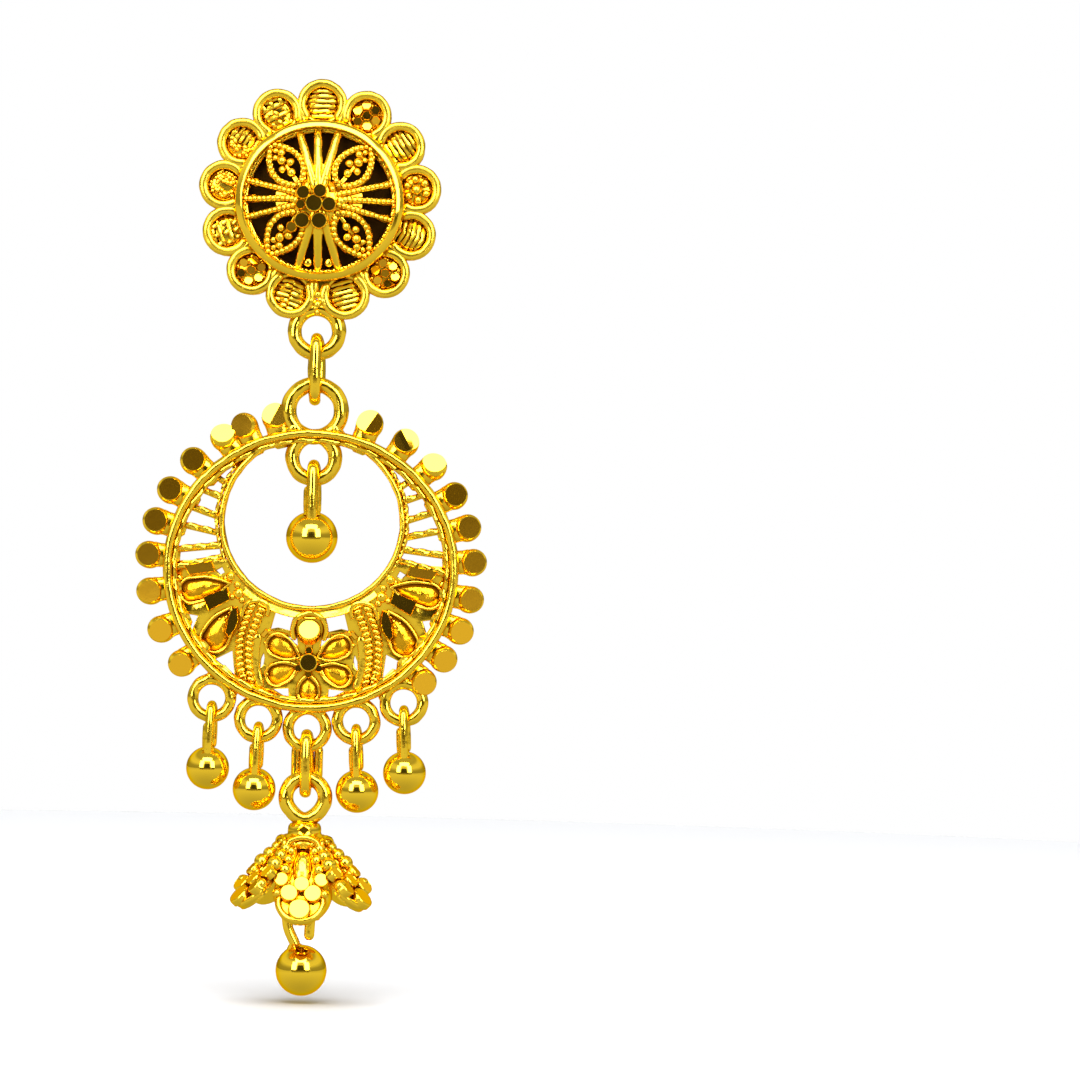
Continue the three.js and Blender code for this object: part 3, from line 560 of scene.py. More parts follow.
bm = bmesh.new()
for side, leans in ((90, (-13.5, 2.5, 17)), (270, (-16, 0, 16))):
    for lean in leans:
        path = on_ray(side + lean, 5.15, 0.9, 16, -0.02)
        radii = [0.29 + 0.09 * i / 15 for i in range(16)]
        tube(bm, path, radii, flat=0.8)
    rows = []
    for i in range(9):
        reach = 0.8 + 1.75 * i / 8
        half = math.degrees(math.asin(min(0.95, 0.78 / reach)))
        rows.append([
            on_bearing(side + s * half, reach, 0.1 - 0.08 * math.cos(math.radians(s * 540)))
            for s in [j / 8 - 1 for j in range(17)]
        ])
    skin(bm, rows, 0.5)
for x in (-0.69, 0.76):
    ball(bm, dome(x, -4.52, -0.25), 0.32, 3, flat=0.5)
for side in (0, 180):
    for lean in (-15, 0, 15):
        beaded(bm, on_ray(side + lean, 5.1, 1.3, 14, -0.05), 0.26, 0.22, 0.35, 0.14)
    for k in range(3):
        ball(bm, dome((1.55 + 0.28 * k) * (1 if side == 0 else -1), 0.1 * k - 0.1, 0.02), 0.34 - 0.05 * k)
    wedge = [[on_bearing(side + s * w, r, -0.12) for s in (-1, -0.5, 0, 0.5, 1)]
             for r, w in ((0.9, 42), (1.6, 30), (2.4, 20), (3.0, 15))]
    skin(bm, wedge, 0.4)
piece("stud_spokes", bm, STUD_PLACE, [cast_gold], "stud", "polished_gold", "stud_dome", uneven=0.03, wave=0.6)

LEAF_GRAINS = [  # share of the way to the tip, share of the half width to one side, radius
    (0.3, 0.05, 0.3), (0.44, -0.35, 0.27), (0.48, 0.36, 0.3), (0.6, -0.05, 0.34), (0.72, -0.38, 0.22),
    (0.74, 0.32, 0.28), (0.84, 0.0, 0.22),
]


def in_leaf(mirror, t, s, above=0.0):
    """A point t of the way to a leaf's tip and s of its half width to one side."""
    way = LEAF_TIP - LEAF_INNER
    across = Vector((-way.y, way.x, 0)).normalized()
    flat = LEAF_INNER + way * t + across * (s * LEAF_HALF_WIDTH * math.sin(math.pi * t ** 0.85) ** 0.8)
    return dome(flat.x * mirror[0], flat.y * mirror[1], above)


bm = bmesh.new()
for mirror in ((1, 1), (-1, 1), (1, -1), (-1, -1)):
    for s in (-1, 1):
        beaded(bm, [in_leaf(mirror, i / 16, s, -0.05) for i in range(17)], 0.27, 0.235, 0.39, 0.14)
    for t, s, r in LEAF_GRAINS:
        ball(bm, in_leaf(mirror, t, s), r, 3)
    stem = [in_leaf(mirror, t, 0, -0.25) for t in (0.02, 0.2, 0.4, 0.6, 0.95)]
    tube(bm, stem, 0.16, sides=8, flat=0.7)
piece("stud_leaves", bm, STUD_PLACE, [cast_gold], "stud", "polished_gold", "stud_dome", uneven=0.03, wave=0.6)

# -------------------------------------------------------------------------- stud: cut flower
# On the dome's crown sits a boss with a cluster of posts, each cut flat with a diamond tool and
# left with a thin bright rim.
CLUSTER = [  # across, up, radius
    (-0.3, -0.3, 0.6), (-1.06, 0.42, 0.47), (0.1, 0.55, 0.47), (0.74, -0.36, 0.5),
    (0.08, -1.5, 0.56), (-1.1, -1.5, 0.54), (-1.22, -0.42, 0.34), (-1.82, -1.98, 0.37),
]

bm = bmesh.new()
boss = [(0.0, 3.42), (0.6, 3.4), (1.2, 3.3), (1.65, 3.12), (1.85, 2.95), (1.8, 2.6), (0.0, 2.5)]
turned(bm, boss, 40, Matrix.Translation((-0.18, -0.3, 0)))
for x, y, r in CLUSTER:
    lean = Matrix.Rotation(-0.05 - 0.035 * y, 4, "X") @ Matrix.Rotation(0.05 * x, 4, "Y")
    top = min(3.78, dome(x, y).z + 0.55)
    facet(bm, Vector((x, y, top)), r, 0.7, 24, lean)
for x, y in ((0.95, 0.75), (1.0, -0.7), (-0.3, 1.35), (-1.45, 0.35), (0.5, 1.5), (-1.4, -0.7)):
    ball(bm, dome(x, y, 0.12), 0.24)
piece("stud_cut_flower", bm, STUD_PLACE, [cast_gold, cut_gold], "stud", "polished_gold", "stud_dome")

# ------------------------------------------------------------------------- stud: dark ground
# Behind the open dome lies the inside of the stud. Its plate is given a near black-brown colour as painted shade, so
# the space behind the filigree reads dark.
painted_shade_ground = gold_plate("ground_plate_painted_shade", "#2E1C06", "#140B02", 0.45, 0.6, 0.3, 0.02)
ground = frame["nodes"]["stud_ground_plate"]
ground.data.materials.clear()
ground.data.materials.append(painted_shade_ground)

# ---------------------------------------------------------------------- stud: ring and ear post
# A ring of round wire is soldered under the stud between the two lowest petals, behind a little
# triangle of grains; the post behind the stud is straight wire with a notch for the ear nut.
RING_DROP = 9.05
RING_RADIUS = 1.55
RING_WIRE = 0.5
HANG_PLANE = 0.9
RING_GRAINS = [  # across, up, radius
    (0, -6.5, 0.3), (0.18, -6.86, 0.2), (-0.12, -7.42, 0.2), (-0.42, -6.95, 0.27), (0.42, -6.95, 0.27),
    (0, -7.2, 0.3), (0, -7.75, 0.22),
]


def wire_ring(bm, centre, radius, wire, steps=64, sides=16):
    """A closed ring of round wire, facing the viewer."""
    tube(bm, [Vector(centre) + p for p in oval(radius, radius, steps)], wire, sides=sides, closed=True)


# Drawn wire, polished after soldering: smooth, with the soft dents of the pliers.
wire_gold = gold_plate("drawn_wire_gold_plate", "#FFD53E", "#C89410", 0.06, 0.16, 0.6, 0.04)

bm = bmesh.new()
wire_ring(bm, (0, -RING_DROP, HANG_PLANE), RING_RADIUS, RING_WIRE)
for x, y, r in RING_GRAINS:
    ball(bm, Vector((x, y, 1.3)), r, 3)
for side in (-1, 1):
    arm = [Vector((side * (0.25 + 0.75 * t), -7.0 - 0.75 * t, 1.2 - 0.2 * t)) for t in (0, 0.25, 0.5, 0.75, 1)]
    tube(bm, arm, [0.26, 0.28, 0.3, 0.3, 0.24], sides=10)
piece("stud_ring", bm, STUD_PLACE, [wire_gold], "stud", "cast_gold", "stud_flower", uneven=0.04, wave=0.6)

post_low, post_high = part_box("ear_post")
POST_RADIUS = (post_high.x - post_low.x) / 2 / MM
POST_LENGTH = (post_high.y - post_low.y) / MM
bm = bmesh.new()
notch = POST_LENGTH - 2.2
profile = [
    (0.0, 0.0), (POST_RADIUS * 1.9, 0.0), (POST_RADIUS * 1.5, -0.14), (POST_RADIUS * 1.08, -0.34),
    (POST_RADIUS, -0.6),
    (POST_RADIUS, 0.35 - notch), (POST_RADIUS * 0.72, 0.15 - notch), (POST_RADIUS * 0.72, -0.15 - notch),
    (POST_RADIUS, -0.35 - notch), (POST_RADIUS * 0.96, 0.5 - POST_LENGTH), (POST_RADIUS * 0.7, 0.14 - POST_LENGTH),
    (POST_RADIUS * 0.35, 0.03 - POST_LENGTH), (0.0, -POST_LENGTH),
]
turned(bm, profile, 32)
post_place = Matrix.Translation((
    (post_low.x + post_high.x) / 2, post_low.y, (post_low.z + post_high.z) / 2))
piece("ear_post_wire", bm, post_place, [wire_gold], "stud", "gold_wire", "ear_post")

# --------------------------------------------------------------------------------- connector
# The stud and the crescent are joined by one long link of round wire. The wire makes a little
# more than one turn, and its two ends lie side by side at the back.


def link_path(half_height, half_depth, splay, lap=24, steps=56):
    """The centre line of a long link seen edge on; its ends pass each other behind."""
    path = []
    for i in range(steps + 1):
        turn = (180 + lap) * (2 * i / steps - 1)
        a = math.radians(turn)
        straight = half_height - half_depth
        rise = max(-1.0, min(1.0, 1.9 * math.sin(a)))
        beside = splay[0] if turn < 0 else splay[1]
        path.append(Vector((
            beside * min(1.0, abs(turn) / 175) ** 3, straight * rise + half_depth * math.sin(a),
            half_depth * math.cos(a))))
    return path


link_low, link_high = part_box("connector_link")
link_middle = (link_low + link_high) / 2
LINK_WIRE = (link_high.x - link_low.x) / 2 / MM
half_height = (link_high.z - link_low.z) / 2 / MM - LINK_WIRE
half_depth = (link_high.y - link_low.y) / 2 / MM - LINK_WIRE
bm = bmesh.new()
tube(bm, link_path(half_height, half_depth, (-0.24, 0.24)), LINK_WIRE, up=SIDEWAYS, sides=16)
piece("connector_wire", bm, Matrix.Translation(link_middle), [wire_gold], "link", "gold_wire", "connector_link",
      uneven=0.03, wave=0.7)

# ------------------------------------------------------------------------------ crescent: rim
# The crescent is one flat casting. Its rim is an oval band with a round wire on its front edge
# and a twisted wire just inside; the ring round the opening runs into the rim at the top.
pin = {joint["name"]: Vector(joint["pos_m"]) for joint in frame["joints"]}
CRESCENT_DROP = 11.8  # from the wire it hangs on down to the middle of the rim's oval
CRESCENT_PLACE = Matrix.Translation(pin["crescent_swing"] - Vector((0, 0, CRESCENT_DROP * MM)))
RIM_X, RIM_Y, RIM_BELOW = 10.29, 9.71, 10.04  # half its width, and its height above and below the middle
OPENING_Y = 3.26
OPENING_X, OPENING_HEIGHT = 6.07, 5.82


def in_rim(inset, count, out=0.0, start=0.0, end=360.0):
    """Points of the rim's oval moved in towards its middle."""
    line = oval(RIM_X - inset, RIM_Y - inset, count, start, end, out=out)
    for p in line:
        p.y *= (RIM_BELOW - inset) / (RIM_Y - inset) if p.y < 0 else 1
    return line


bm = bmesh.new()
plate(bm, in_rim(0.08, 144), [in_rim(0.82, 144)], -0.88, 0.46, 0.08, 2)
tube(bm, in_rim(0.31, 160, 0.52), 0.31, sides=14, closed=True)
tube(bm, in_rim(0.8, 420, 0.42), 0.19, sides=10, closed=True, twist=(1.5, 0.07))
ring_x, ring_y = OPENING_X + 0.24, OPENING_HEIGHT + 0.24
band = [oval(OPENING_X + out, OPENING_HEIGHT + out, 128, centre=(0, OPENING_Y)) for out in (0.46, 0.06)]
plate(bm, band[0], band[1:], -0.72, 0.3, 0.08, 2)
tube(bm, oval(ring_x, ring_y, 128, centre=(0, OPENING_Y), out=0.36), 0.2, sides=12, closed=True)
tube(bm, oval(ring_x + 0.34, ring_y + 0.34, 320, start=-215, end=35, centre=(0, OPENING_Y), out=0.3), 0.13,
     sides=8, twist=(0.8, 0.22))
piece("crescent_rim", bm, CRESCENT_PLACE, [cast_gold], "crescent", "cast_gold", "crescent_frame",
      uneven=0.05, wave=0.6)

# --------------------------------------------------------------------------- crescent: rings
# Seven rings of round wire are soldered to the rim in line with it: one on top for the link, one
# inside for the middle drop and five below.
TOP_RING = (0, 11.0, 1.835, 0.54)  # across, up, radius, wire
INNER_RING = (0, 7.71, 1.495, 0.495)
DROP_RING_RADIUS, DROP_RING_WIRE = 1.315, 0.4
DROP_RINGS = {
    "far_left": (-6.69, -9.18), "near_left": (-3.4, -10.56), "centre": (0, -11.14),
    "near_right": (3.4, -10.56), "far_right": (6.69, -9.18),
}

bm = bmesh.new()
for x, y, radius, wire in (TOP_RING, INNER_RING):
    wire_ring(bm, (x, y, 0), radius, wire)
for x, y in DROP_RINGS.values():
    wire_ring(bm, (x, y, 0), DROP_RING_RADIUS, DROP_RING_WIRE, 56, 14)
    way = Vector((x, y, 0)).normalized()
    side = Vector((-way.y, way.x, 0))
    for s in (-1, 1):
        ball(bm, Vector((x, y, 0.1)) - way * 1.15 + side * (s * 0.95), 0.34, 3)
for side in (-1, 1):
    arm = [Vector((side * (1.45 + 0.5 * t), 9.75 - 0.32 * t, 0.2)) for t in (0, 0.33, 0.66, 1)]
    tube(bm, arm, [0.4, 0.36, 0.3, 0.2], sides=12)
piece("crescent_rings", bm, CRESCENT_PLACE, [wire_gold], "crescent", "cast_gold", "crescent_frame",
      uneven=0.045, wave=0.6)

# -------------------------------------------------------------------------- crescent: ladder
# In each horn six short bars of twisted wire bridge the gap between the rim and the opening.
LADDER = [  # where each bar meets the rim and the opening's ring, on the right
    ((6.85, 6.4), (6.0, 5.78)), ((7.68, 5.36), (6.35, 4.86)), ((8.6, 4.22), (6.55, 3.52)),
    ((9.3, 2.96), (6.5, 2.36)), ((9.72, 1.12), (6.35, 1.5)), ((9.9, -0.24), (6.1, 0.72)),
]



def half_line(points, height, side=1):
    """Points drawn for the right half, set at a height; side -1 mirrors them to the left half."""
    return [Vector((side * x, y, height)) for x, y in points]


bm = bmesh.new()
for bar in LADDER:
    for side in (-1, 1):
        a, b = half_line(bar, 0.12, side)
        path = [a.lerp(b, i / 26) for i in range(27)]
        tube(bm, path, 0.215, sides=10, twist=(1.0, 0.13))
        rail = [p + Vector((0, -0.14, -0.16)) for p in path[::13]]
        tube(bm, rail, 0.16, sides=8)
for side in (-1, 1):
    tube(bm, half_line([(5.35, 7.0), (5.0, 7.3), (4.6, 7.62)], 0.1, side), [0.16, 0.13, 0.1], sides=8)
piece("crescent_ladder", bm, CRESCENT_PLACE, [cast_gold], "crescent", "cast_gold", "crescent_frame",
      uneven=0.04, wave=0.5)

# --------------------------------------------------------------------------- crescent: panel
# The lower part is a flat plate between rim and opening, pierced with small gaps. Its open
# surfaces are filed flat and polished and frame the raised work.
PANEL_FRONT = 0.34
PANEL_GAPS = [  # corners of the gaps in the right half
    [(8.98, -3.32), (7.82, -3.5), (8.28, -4.7)],
    [(6.55, -6.5), (5.36, -5.88), (5.16, -7.6)],
    [(2.33, -2.85), (1.04, -3.06), (1.2, -3.7), (1.33, -4.39), (2.2, -4.18), (2.71, -4.29)],
    [(3.18, -5.95), (3.1, -6.3), (3.16, -6.8), (3.4, -7.1), (3.36, -6.4)],
    [(2.5, -8.5), (1.4, -8.4), (1.35, -9.15)],
    [(1.5, -4.82), (0.86, -4.9), (0.78, -5.42), (1.1, -5.2)],
    [(6.6, -0.28), (6.18, -0.05), (6.0, -0.42), (6.3, -0.6)],
]
PANEL_STRIPS = [  # course in the right half, height, radius, sides, flatness
    ([(3.62, -4.95), (3.78, -5.9), (3.74, -6.9), (3.4, -8.15)], 0.42, 0.32, 12, 0.35),
    ([(5.9, -7.0), (4.9, -7.95), (3.9, -8.55)], 0.3, 0.14, 8, 1.0),
    ([(2.7, -8.85), (1.8, -9.02), (0.9, -9.08)], 0.3, 0.12, 8, 1.0),
    ([(8.85, -3.35), (8.6, -4.1), (8.1, -5.0)], 0.2, 0.13, 8, 1.0),
]
UPPER_CUP = ((5.5, -1.15), (9.25, -1.95), 1.95)  # tip, far end of the round, width
LOWER_CUP = ((5.45, -2.75), (7.1, -6.0), 2.1)
FLOWER_Y = -6.55
FLOWER_PETALS = [  # way it points, nearest and farthest reach from the flower's middle, width
    (28.0, 0.58, 3.36, 1.76), (152.0, 0.58, 3.36, 1.76), (-22.5, 0.6, 3.24, 1.7), (202.5, 0.6, 3.24, 1.7),
    (-90.0, 0.7, 2.95, 1.72),
]


def panel_slope(x, y):
    """The panel leans back, most of all along the opening, where it stands highest."""
    outside = math.hypot(x / OPENING_X, (y - OPENING_Y) / OPENING_HEIGHT) - 1
    inside = 1 - math.hypot(x / RIM_X, y / RIM_BELOW)
    way_out = max(0.0, outside) / max(0.05, max(0.0, outside) + max(0.0, inside))
    return 0.33 - 0.94 * (1 - (1 - way_out) ** 1.6)


def curve_through(points, steps):
    """A smooth line through given points."""
    line = []
    for i in range(len(points) - 1):
        p0, p1, p2 = points[max(i - 1, 0)], points[i], points[i + 1]
        p3 = points[min(i + 2, len(points) - 1)]
        for k in range(steps):
            t = k / steps
            line.append(0.5 * (2 * p1 + (p2 - p0) * t + (2 * p0 - 5 * p1 + 4 * p2 - p3) * t * t
                               + (3 * p1 - p0 - 3 * p2 + p3) * t ** 3))
    return line + [points[-1]]


def drop(tip, end, width, inset=0.0, side=1, count=22):
    """A drop outline: a pointed tip and a round far end, made smaller all round by inset."""
    tip = Vector((tip[0] * side, tip[1], 0))
    end = Vector((end[0] * side, end[1], 0))
    way = (end - tip).normalized()
    across = Vector((-way.y, way.x, 0))
    radius = width / 2 - inset
    middle = end - way * (width / 2)
    tip = tip + way * (1.7 * inset)
    outline = []
    for i in range(count):
        a = math.radians(-100 + 200 * i / (count - 1))
        outline.append(middle + way * (radius * math.cos(a)) + across * (radius * math.sin(a)))
    for i in range(1, 8):
        t = i / 8
        outline.append(outline[count - 1].lerp(tip, t) + across * (0.27 * radius * math.sin(math.pi * t)))
    outline.append(tip)
    for i in range(1, 8):
        t = i / 8
        outline.append(tip.lerp(outline[0], t) - across * (0.27 * radius * math.sin(math.pi * (1 - t))))
    return outline


def petal_ends(points, near, far):
    """Tip and far end of one petal of the panel's flower."""
    way = Vector((math.cos(math.radians(points)), math.sin(math.radians(points))))
    middle = Vector((0, FLOWER_Y))
    return middle + way * near, middle + way * far


outer_edge = in_rim(0.5, 90, start=-182, end=2)
inner_edge = oval(OPENING_X + 0.4, OPENING_HEIGHT + 0.4, 70, start=-26.5, end=-153.5, centre=(0, OPENING_Y))
cut_outs = []
for side in (-1, 1):
    cut_outs += [[(x * side, y) for x, y in gap] for gap in PANEL_GAPS]
    cut_outs += [drop(*cup, inset=0.2, side=side) for cup in (UPPER_CUP, LOWER_CUP)]
for points, near, far, width in FLOWER_PETALS:
    tip, end = petal_ends(points, near, far)
    cut_outs.append(drop(tip, end, width, inset=0.2))
# The same plate filed flat by hand: the file leaves long shallow waves that break the light up.
filed_gold = gold_plate("filed_gold_plate", "#FFD53E", "#C4920F", 0.1, 0.2, 0.85, 0.07)

bm = bmesh.new()
plate(bm, outer_edge + inner_edge, cut_outs, -0.42, PANEL_FRONT, 0.07, 2)
bevel = [[p + Vector((0, 0, z)) for p in oval(
    OPENING_X + out, OPENING_HEIGHT + out, 60, start=-48, end=-132, centre=(0, OPENING_Y))]
    for out, z in ((0.42, 0.24), (0.9, 0.56), (0.98, 0.5))]
skin(bm, bevel, 0.3)
for side in (-1, 1):
    for points, height, wire, sides, flat in PANEL_STRIPS:
        tube(bm, curve_through(half_line(points, height, side), 6), wire, sides=sides, flat=flat)
piece("crescent_panel", bm, CRESCENT_PLACE, [filed_gold], "crescent", "cast_gold", "crescent_frame",
      uneven=0.03, wave=1.1, slope=panel_slope)

# ---------------------------------------------------------------------------- crescent: cups
# Drop-shaped cups with a thin raised rim stand on the panel, and the flower's five petals are made the same way. The
# swelling inside each is smooth and lies deep, and its amber colour is painted shade.
CUP_FLOOR = 0.02
CUP_GRAINS = [  # across, up, radius
    (5.62, -3.25, 0.13), (5.85, -3.55, 0.15), (5.6, -3.72, 0.13), (5.95, -3.95, 0.15), (6.2, -4.15, 0.13),
    (5.72, -4.1, 0.12), (6.3, -3.7, 0.12),
]


def cup(bm, tip, end, width, side=1, swell=0.42, rim_top=0.62, rim_wide=0.16):
    """A drop-shaped rim and the smooth swelling inside it."""
    plate(bm, drop(tip, end, width, 0, side), [drop(tip, end, width, rim_wide, side)], 0.0, rim_top, 0.075, 3)
    edge = drop(tip, end, width, rim_wide - 0.03, side)
    tip3 = Vector((tip[0] * side, tip[1], 0))
    end3 = Vector((end[0] * side, end[1], 0))
    heart = tip3.lerp(end3, 0.62)
    rings = []
    for k in range(9):
        t = k / 8
        rise = Vector((0, 0, CUP_FLOOR + swell * math.cos(t * math.pi / 2) ** 0.7))
        rings.append([bm.verts.new(heart.lerp(p, t) + rise) for p in edge])
    bottom = [bm.verts.new(p + Vector((0, 0, -0.4))) for p in edge]
    made = []
    for low, top in zip(rings[1:] + [bottom], rings):
        for i in range(len(edge)):
            made.append(bm.faces.new((low[i - 1], low[i], top[i], top[i - 1])))
    made.append(bm.faces.new(bottom))
    smoothed(made, 1)
    bmesh.ops.remove_doubles(bm, verts=rings[0], dist=1e-4)


# The same plate deep in a cup, darkened to orange as painted shade for lying deep, and softly glossy.
deep_cup_painted_shade_gold = gold_plate("cup_painted_shade_gold_plate", "#E0A81E", "#8E5E08", 0.2, 0.36, 0.4, 0.1)

bm = bmesh.new()
for side in (-1, 1):
    for tip, end, width in (UPPER_CUP, LOWER_CUP):
        cup(bm, tip, end, width, side)
    for x, y, r in CUP_GRAINS:
        ball(bm, Vector((side * x, y, 0.28)), r)
for points, near, far, width in FLOWER_PETALS:
    cup(bm, *petal_ends(points, near, far), width, swell=0.36, rim_top=0.66, rim_wide=0.13)
piece("crescent_cups", bm, CRESCENT_PLACE, [cast_gold, deep_cup_painted_shade_gold], "crescent", "cast_gold", "crescent_frame",
      uneven=0.03, wave=0.7, slope=panel_slope)

# -------------------------------------------------------------------- crescent: panel facets
# Four-sided and marquise blocks between the cups, and the flower's eye, are cut flat with a
# diamond tool; they mirror the dark of the room.
BLOCKS = [  # corners of the right half's blocks, and how far they lean across and up
    ([(7.46, -2.15), (5.8, -1.45), (5.55, -2.3), (7.05, -3.15)], 0.0, -0.09),
    ([(5.05, -2.8), (4.95, -3.7), (5.12, -4.3), (5.6, -4.95), (5.85, -4.6), (5.72, -3.7), (5.45, -2.9)], 0.0, -0.09),
    ([(8.88, 0.02), (6.93, 0.37), (6.65, -0.38), (8.44, -0.66)], 0.0, 0.03),
]


def on_panel(spot):
    """How much higher the panel stands at a spot than its middle height."""
    return panel_slope(spot.x, spot.y)


def block(bm, corners, side, lean_x, lean_y, back=-0.2, front=0.76, rise=on_panel):
    """A block with a leaning top, cut flat, and narrow bevels round it."""
    points = wound([(x * side, y) for x, y in corners], 1)
    middle = sum(points, Vector()) / len(points)
    back += rise(middle)
    front += rise(middle)

    def raised(loop, height):
        return [
            bm.verts.new(p + Vector((
                0, 0, height + lean_x * side * (p.x - middle.x) + lean_y * (p.y - middle.y))))
            for p in loop]

    foot = [bm.verts.new(p + Vector((0, 0, back))) for p in points]
    shoulder = raised(points, front - 0.06)
    top = raised(moved_in(points, 0.05), front)
    for low, high in ((foot, shoulder), (shoulder, top)):
        for i in range(len(points)):
            bm.faces.new((low[i - 1], low[i], high[i], high[i - 1]))
    bm.faces.new(top).material_index = CUT_FACE
    bm.faces.new(foot[::-1])


bm = bmesh.new()
for corners, lean_x, lean_y in BLOCKS:
    for side in (-1, 1):
        block(bm, corners, side, lean_x, lean_y)
eye = Vector((0, FLOWER_Y, 0.95 + panel_slope(0, FLOWER_Y)))
facet(bm, eye, 0.62, 1.0, 24, Matrix.Rotation(-0.07, 4, "X"))
for k in range(6):
    a = math.radians(60 * k + 30)
    lean = Matrix.Rotation(-0.1, 4, "X") @ Matrix.Rotation(0.06, 4, Vector((-math.sin(a), math.cos(a), 0)))
    facet(bm, eye + Vector((0.82 * math.cos(a), 0.82 * math.sin(a), -0.3)), 0.27, 0.6, 8, lean)
facet(bm, Vector((0, -4.24, 0.85 + panel_slope(0, -4.24))), 0.78, 0.8, 28, Matrix.Rotation(-0.43, 4, "X"))
block(bm, [(0.36, -4.8), (-0.36, -4.8), (-0.24, -5.6), (0.24, -5.6)], 1, 0.0, 0.25, -0.2, 0.5)
for x, y, turn, long in ((2.2, -4.62, 12, 0.7), (3.1, -4.6, -50, 0.3)):
    for side in (-1, 1):
        a = math.radians(turn)
        way = Vector((math.cos(a), math.sin(a)))
        across = Vector((-way.y, way.x))
        middle = Vector((x, y))
        corners = [
            middle + way * (u * long) + across * (v * 0.17) for u, v in ((1, 1), (-1, 1), (-1, -1), (1, -1))]
        block(bm, [tuple(c) for c in corners], side, 0.0, 0.1, -0.2, 0.5)
piece("crescent_facets", bm, CRESCENT_PLACE, [cast_gold, cut_gold], "crescent", "cast_gold", "crescent_frame",
      sharp=20)

# ---------------------------------------------------------------- crescent: ropes and small work
# Between the cups and the flower two rows of grains run down side by side under a small hood, and
# an arch of wire stands over the flower's top petal. They are cast in one with the panel.
ROPE_ROWS = [  # each row's course in the right half, from its top
    [(3.35, -2.95), (3.75, -3.9), (4.1, -4.9), (4.2, -5.9), (4.15, -7.0), (3.95, -8.1)],
    [(4.05, -2.75), (4.5, -3.8), (4.82, -4.9), (4.85, -5.9), (4.78, -7.0), (4.5, -7.9)],
]
ROPE_PITCH = 0.42
HOOD = [(2.95, -3.3), (2.88, -2.85), (3.15, -2.45), (3.7, -2.33), (4.3, -2.5), (4.62, -2.95), (4.75, -3.4)]
ARCH = [(-1.05, -4.85), (-1.16, -4.2), (-0.85, -3.45), (0, -3.14), (0.85, -3.45), (1.16, -4.2), (1.05, -4.85)]
PANEL_GRAINS = [  # across, up, radius
    (5.0, -1.9, 0.42), (5.45, -2.15, 0.24), (5.6, -0.72, 0.34), (5.1, -1.3, 0.26), (4.75, -2.35, 0.26),
    (5.9, -0.85, 0.22), (6.9, -0.05, 0.2), (7.6, 0.0, 0.22), (8.3, -0.1, 0.2), (9.2, -0.9, 0.3),
    (9.25, -1.5, 0.18), (3.95, -8.4, 0.32), (3.05, -5.3, 0.18), (2.95, -7.45, 0.18),
]

bm = bmesh.new()
for side in (-1, 1):
    for k, row in enumerate(ROPE_ROWS):
        path = curve_through(half_line(row, 0.34, side), 8)
        tube(bm, path, 0.24, sides=8, flat=0.8)
        for spot in spaced(path, ROPE_PITCH):
            place = Matrix.Translation(spot + Vector((0, 0, 0.17)))
            place = place @ Matrix.Rotation(side * (0.35 - 0.7 * k), 4, "Z") @ Matrix.Diagonal((1.7, 0.85, 1.0, 1))
            lump(bm, place, 0.21, 2)
    tube(bm, curve_through(half_line(HOOD, 0.5, side), 6), 0.15, sides=10)
    for x, y, r in PANEL_GRAINS:
        ball(bm, Vector((side * x, y, 0.3)), r, flat=0.8)
tube(bm, curve_through(half_line(ARCH, 0.5), 8), 0.19, sides=12)
piece("crescent_small_work", bm, CRESCENT_PLACE, [cast_gold], "crescent", "cast_gold", "crescent_frame",
      uneven=0.03, wave=0.5, slope=panel_slope)

# ----------------------------------------------------------------------- crescent: rim studs
# Twenty round studs stand out from the rim on tapered stems. Each face is cut flat with a
# diamond tool at its own lean, so some are bright and others mirror the dark.
STUD_ORBIT_X, STUD_ORBIT_Y = 11.42, 10.96
STUD_HEAD = [  # radius and height
    (0.0, -0.75), (0.55, -0.7), (0.86, -0.45), (0.96, -0.12), (0.95, 0.1), (0.9, 0.25), (0.84, 0.35),
    (0.76, 0.43), (0.64, 0.52), (0.0, 0.9),
]
RIM_STUDS = [  # degrees from the top, clockwise, and how the cut face leans across and up in degrees
    (20.7, 6, -1), (35.4, 14, 12), (48.7, 2, 23), (61.5, 2, -0.4), (73.9, 2, -1.8), (86.3, 1, -2.1),
    (99.5, 1, -3.2),
    (111.2, 3, -7), (122.7, 3, -9), (133.8, 4, -6), (-14.6, -13, 12), (-26.4, -12, -3.2), (-34.9, -2, 24),
    (-48.7, 4, -1.2), (-62.0, 4, -0.6), (-74.1, 4, -1.3), (-86.3, 4, -1.7), (-99.2, 4, -4), (-113.3, 4, -7),
    (-127.5, 3, -8),
]
SECOND_CUTS = {20.7: (-15, 13), 35.4: (-6, 1), -14.6: (9, 1)}  # the same of the studs that are cut twice


def add_mesh(bm, other):
    """Adds a finished mesh to the one being drawn."""
    mesh = bpy.data.meshes.new("joined")
    other.to_mesh(mesh)
    other.free()
    bm.from_mesh(mesh)
    bpy.data.meshes.remove(mesh)


def cut_flat(bm, at, facing):
    """Cuts a mesh off beyond a plane and closes it with a bright flat face."""
    parts = bm.verts[:] + bm.edges[:] + bm.faces[:]
    cut = bmesh.ops.bisect_plane(bm, geom=parts, plane_co=at, plane_no=facing, clear_outer=True)
    edges = [e for e in cut["geom_cut"] if isinstance(e, bmesh.types.BMEdge)]
    for face in bmesh.ops.edgeloop_fill(bm, edges=edges)["faces"]:
        face.material_index = CUT_FACE
        face.smooth = False


def on_oval(degrees, rx, ry):
    """A point of an oval, at an angle from its top."""
    a = math.radians(degrees)
    reach = 1 / math.hypot(math.sin(a) / rx, math.cos(a) / ry)
    return Vector((reach * math.sin(a), reach * math.cos(a), 0))


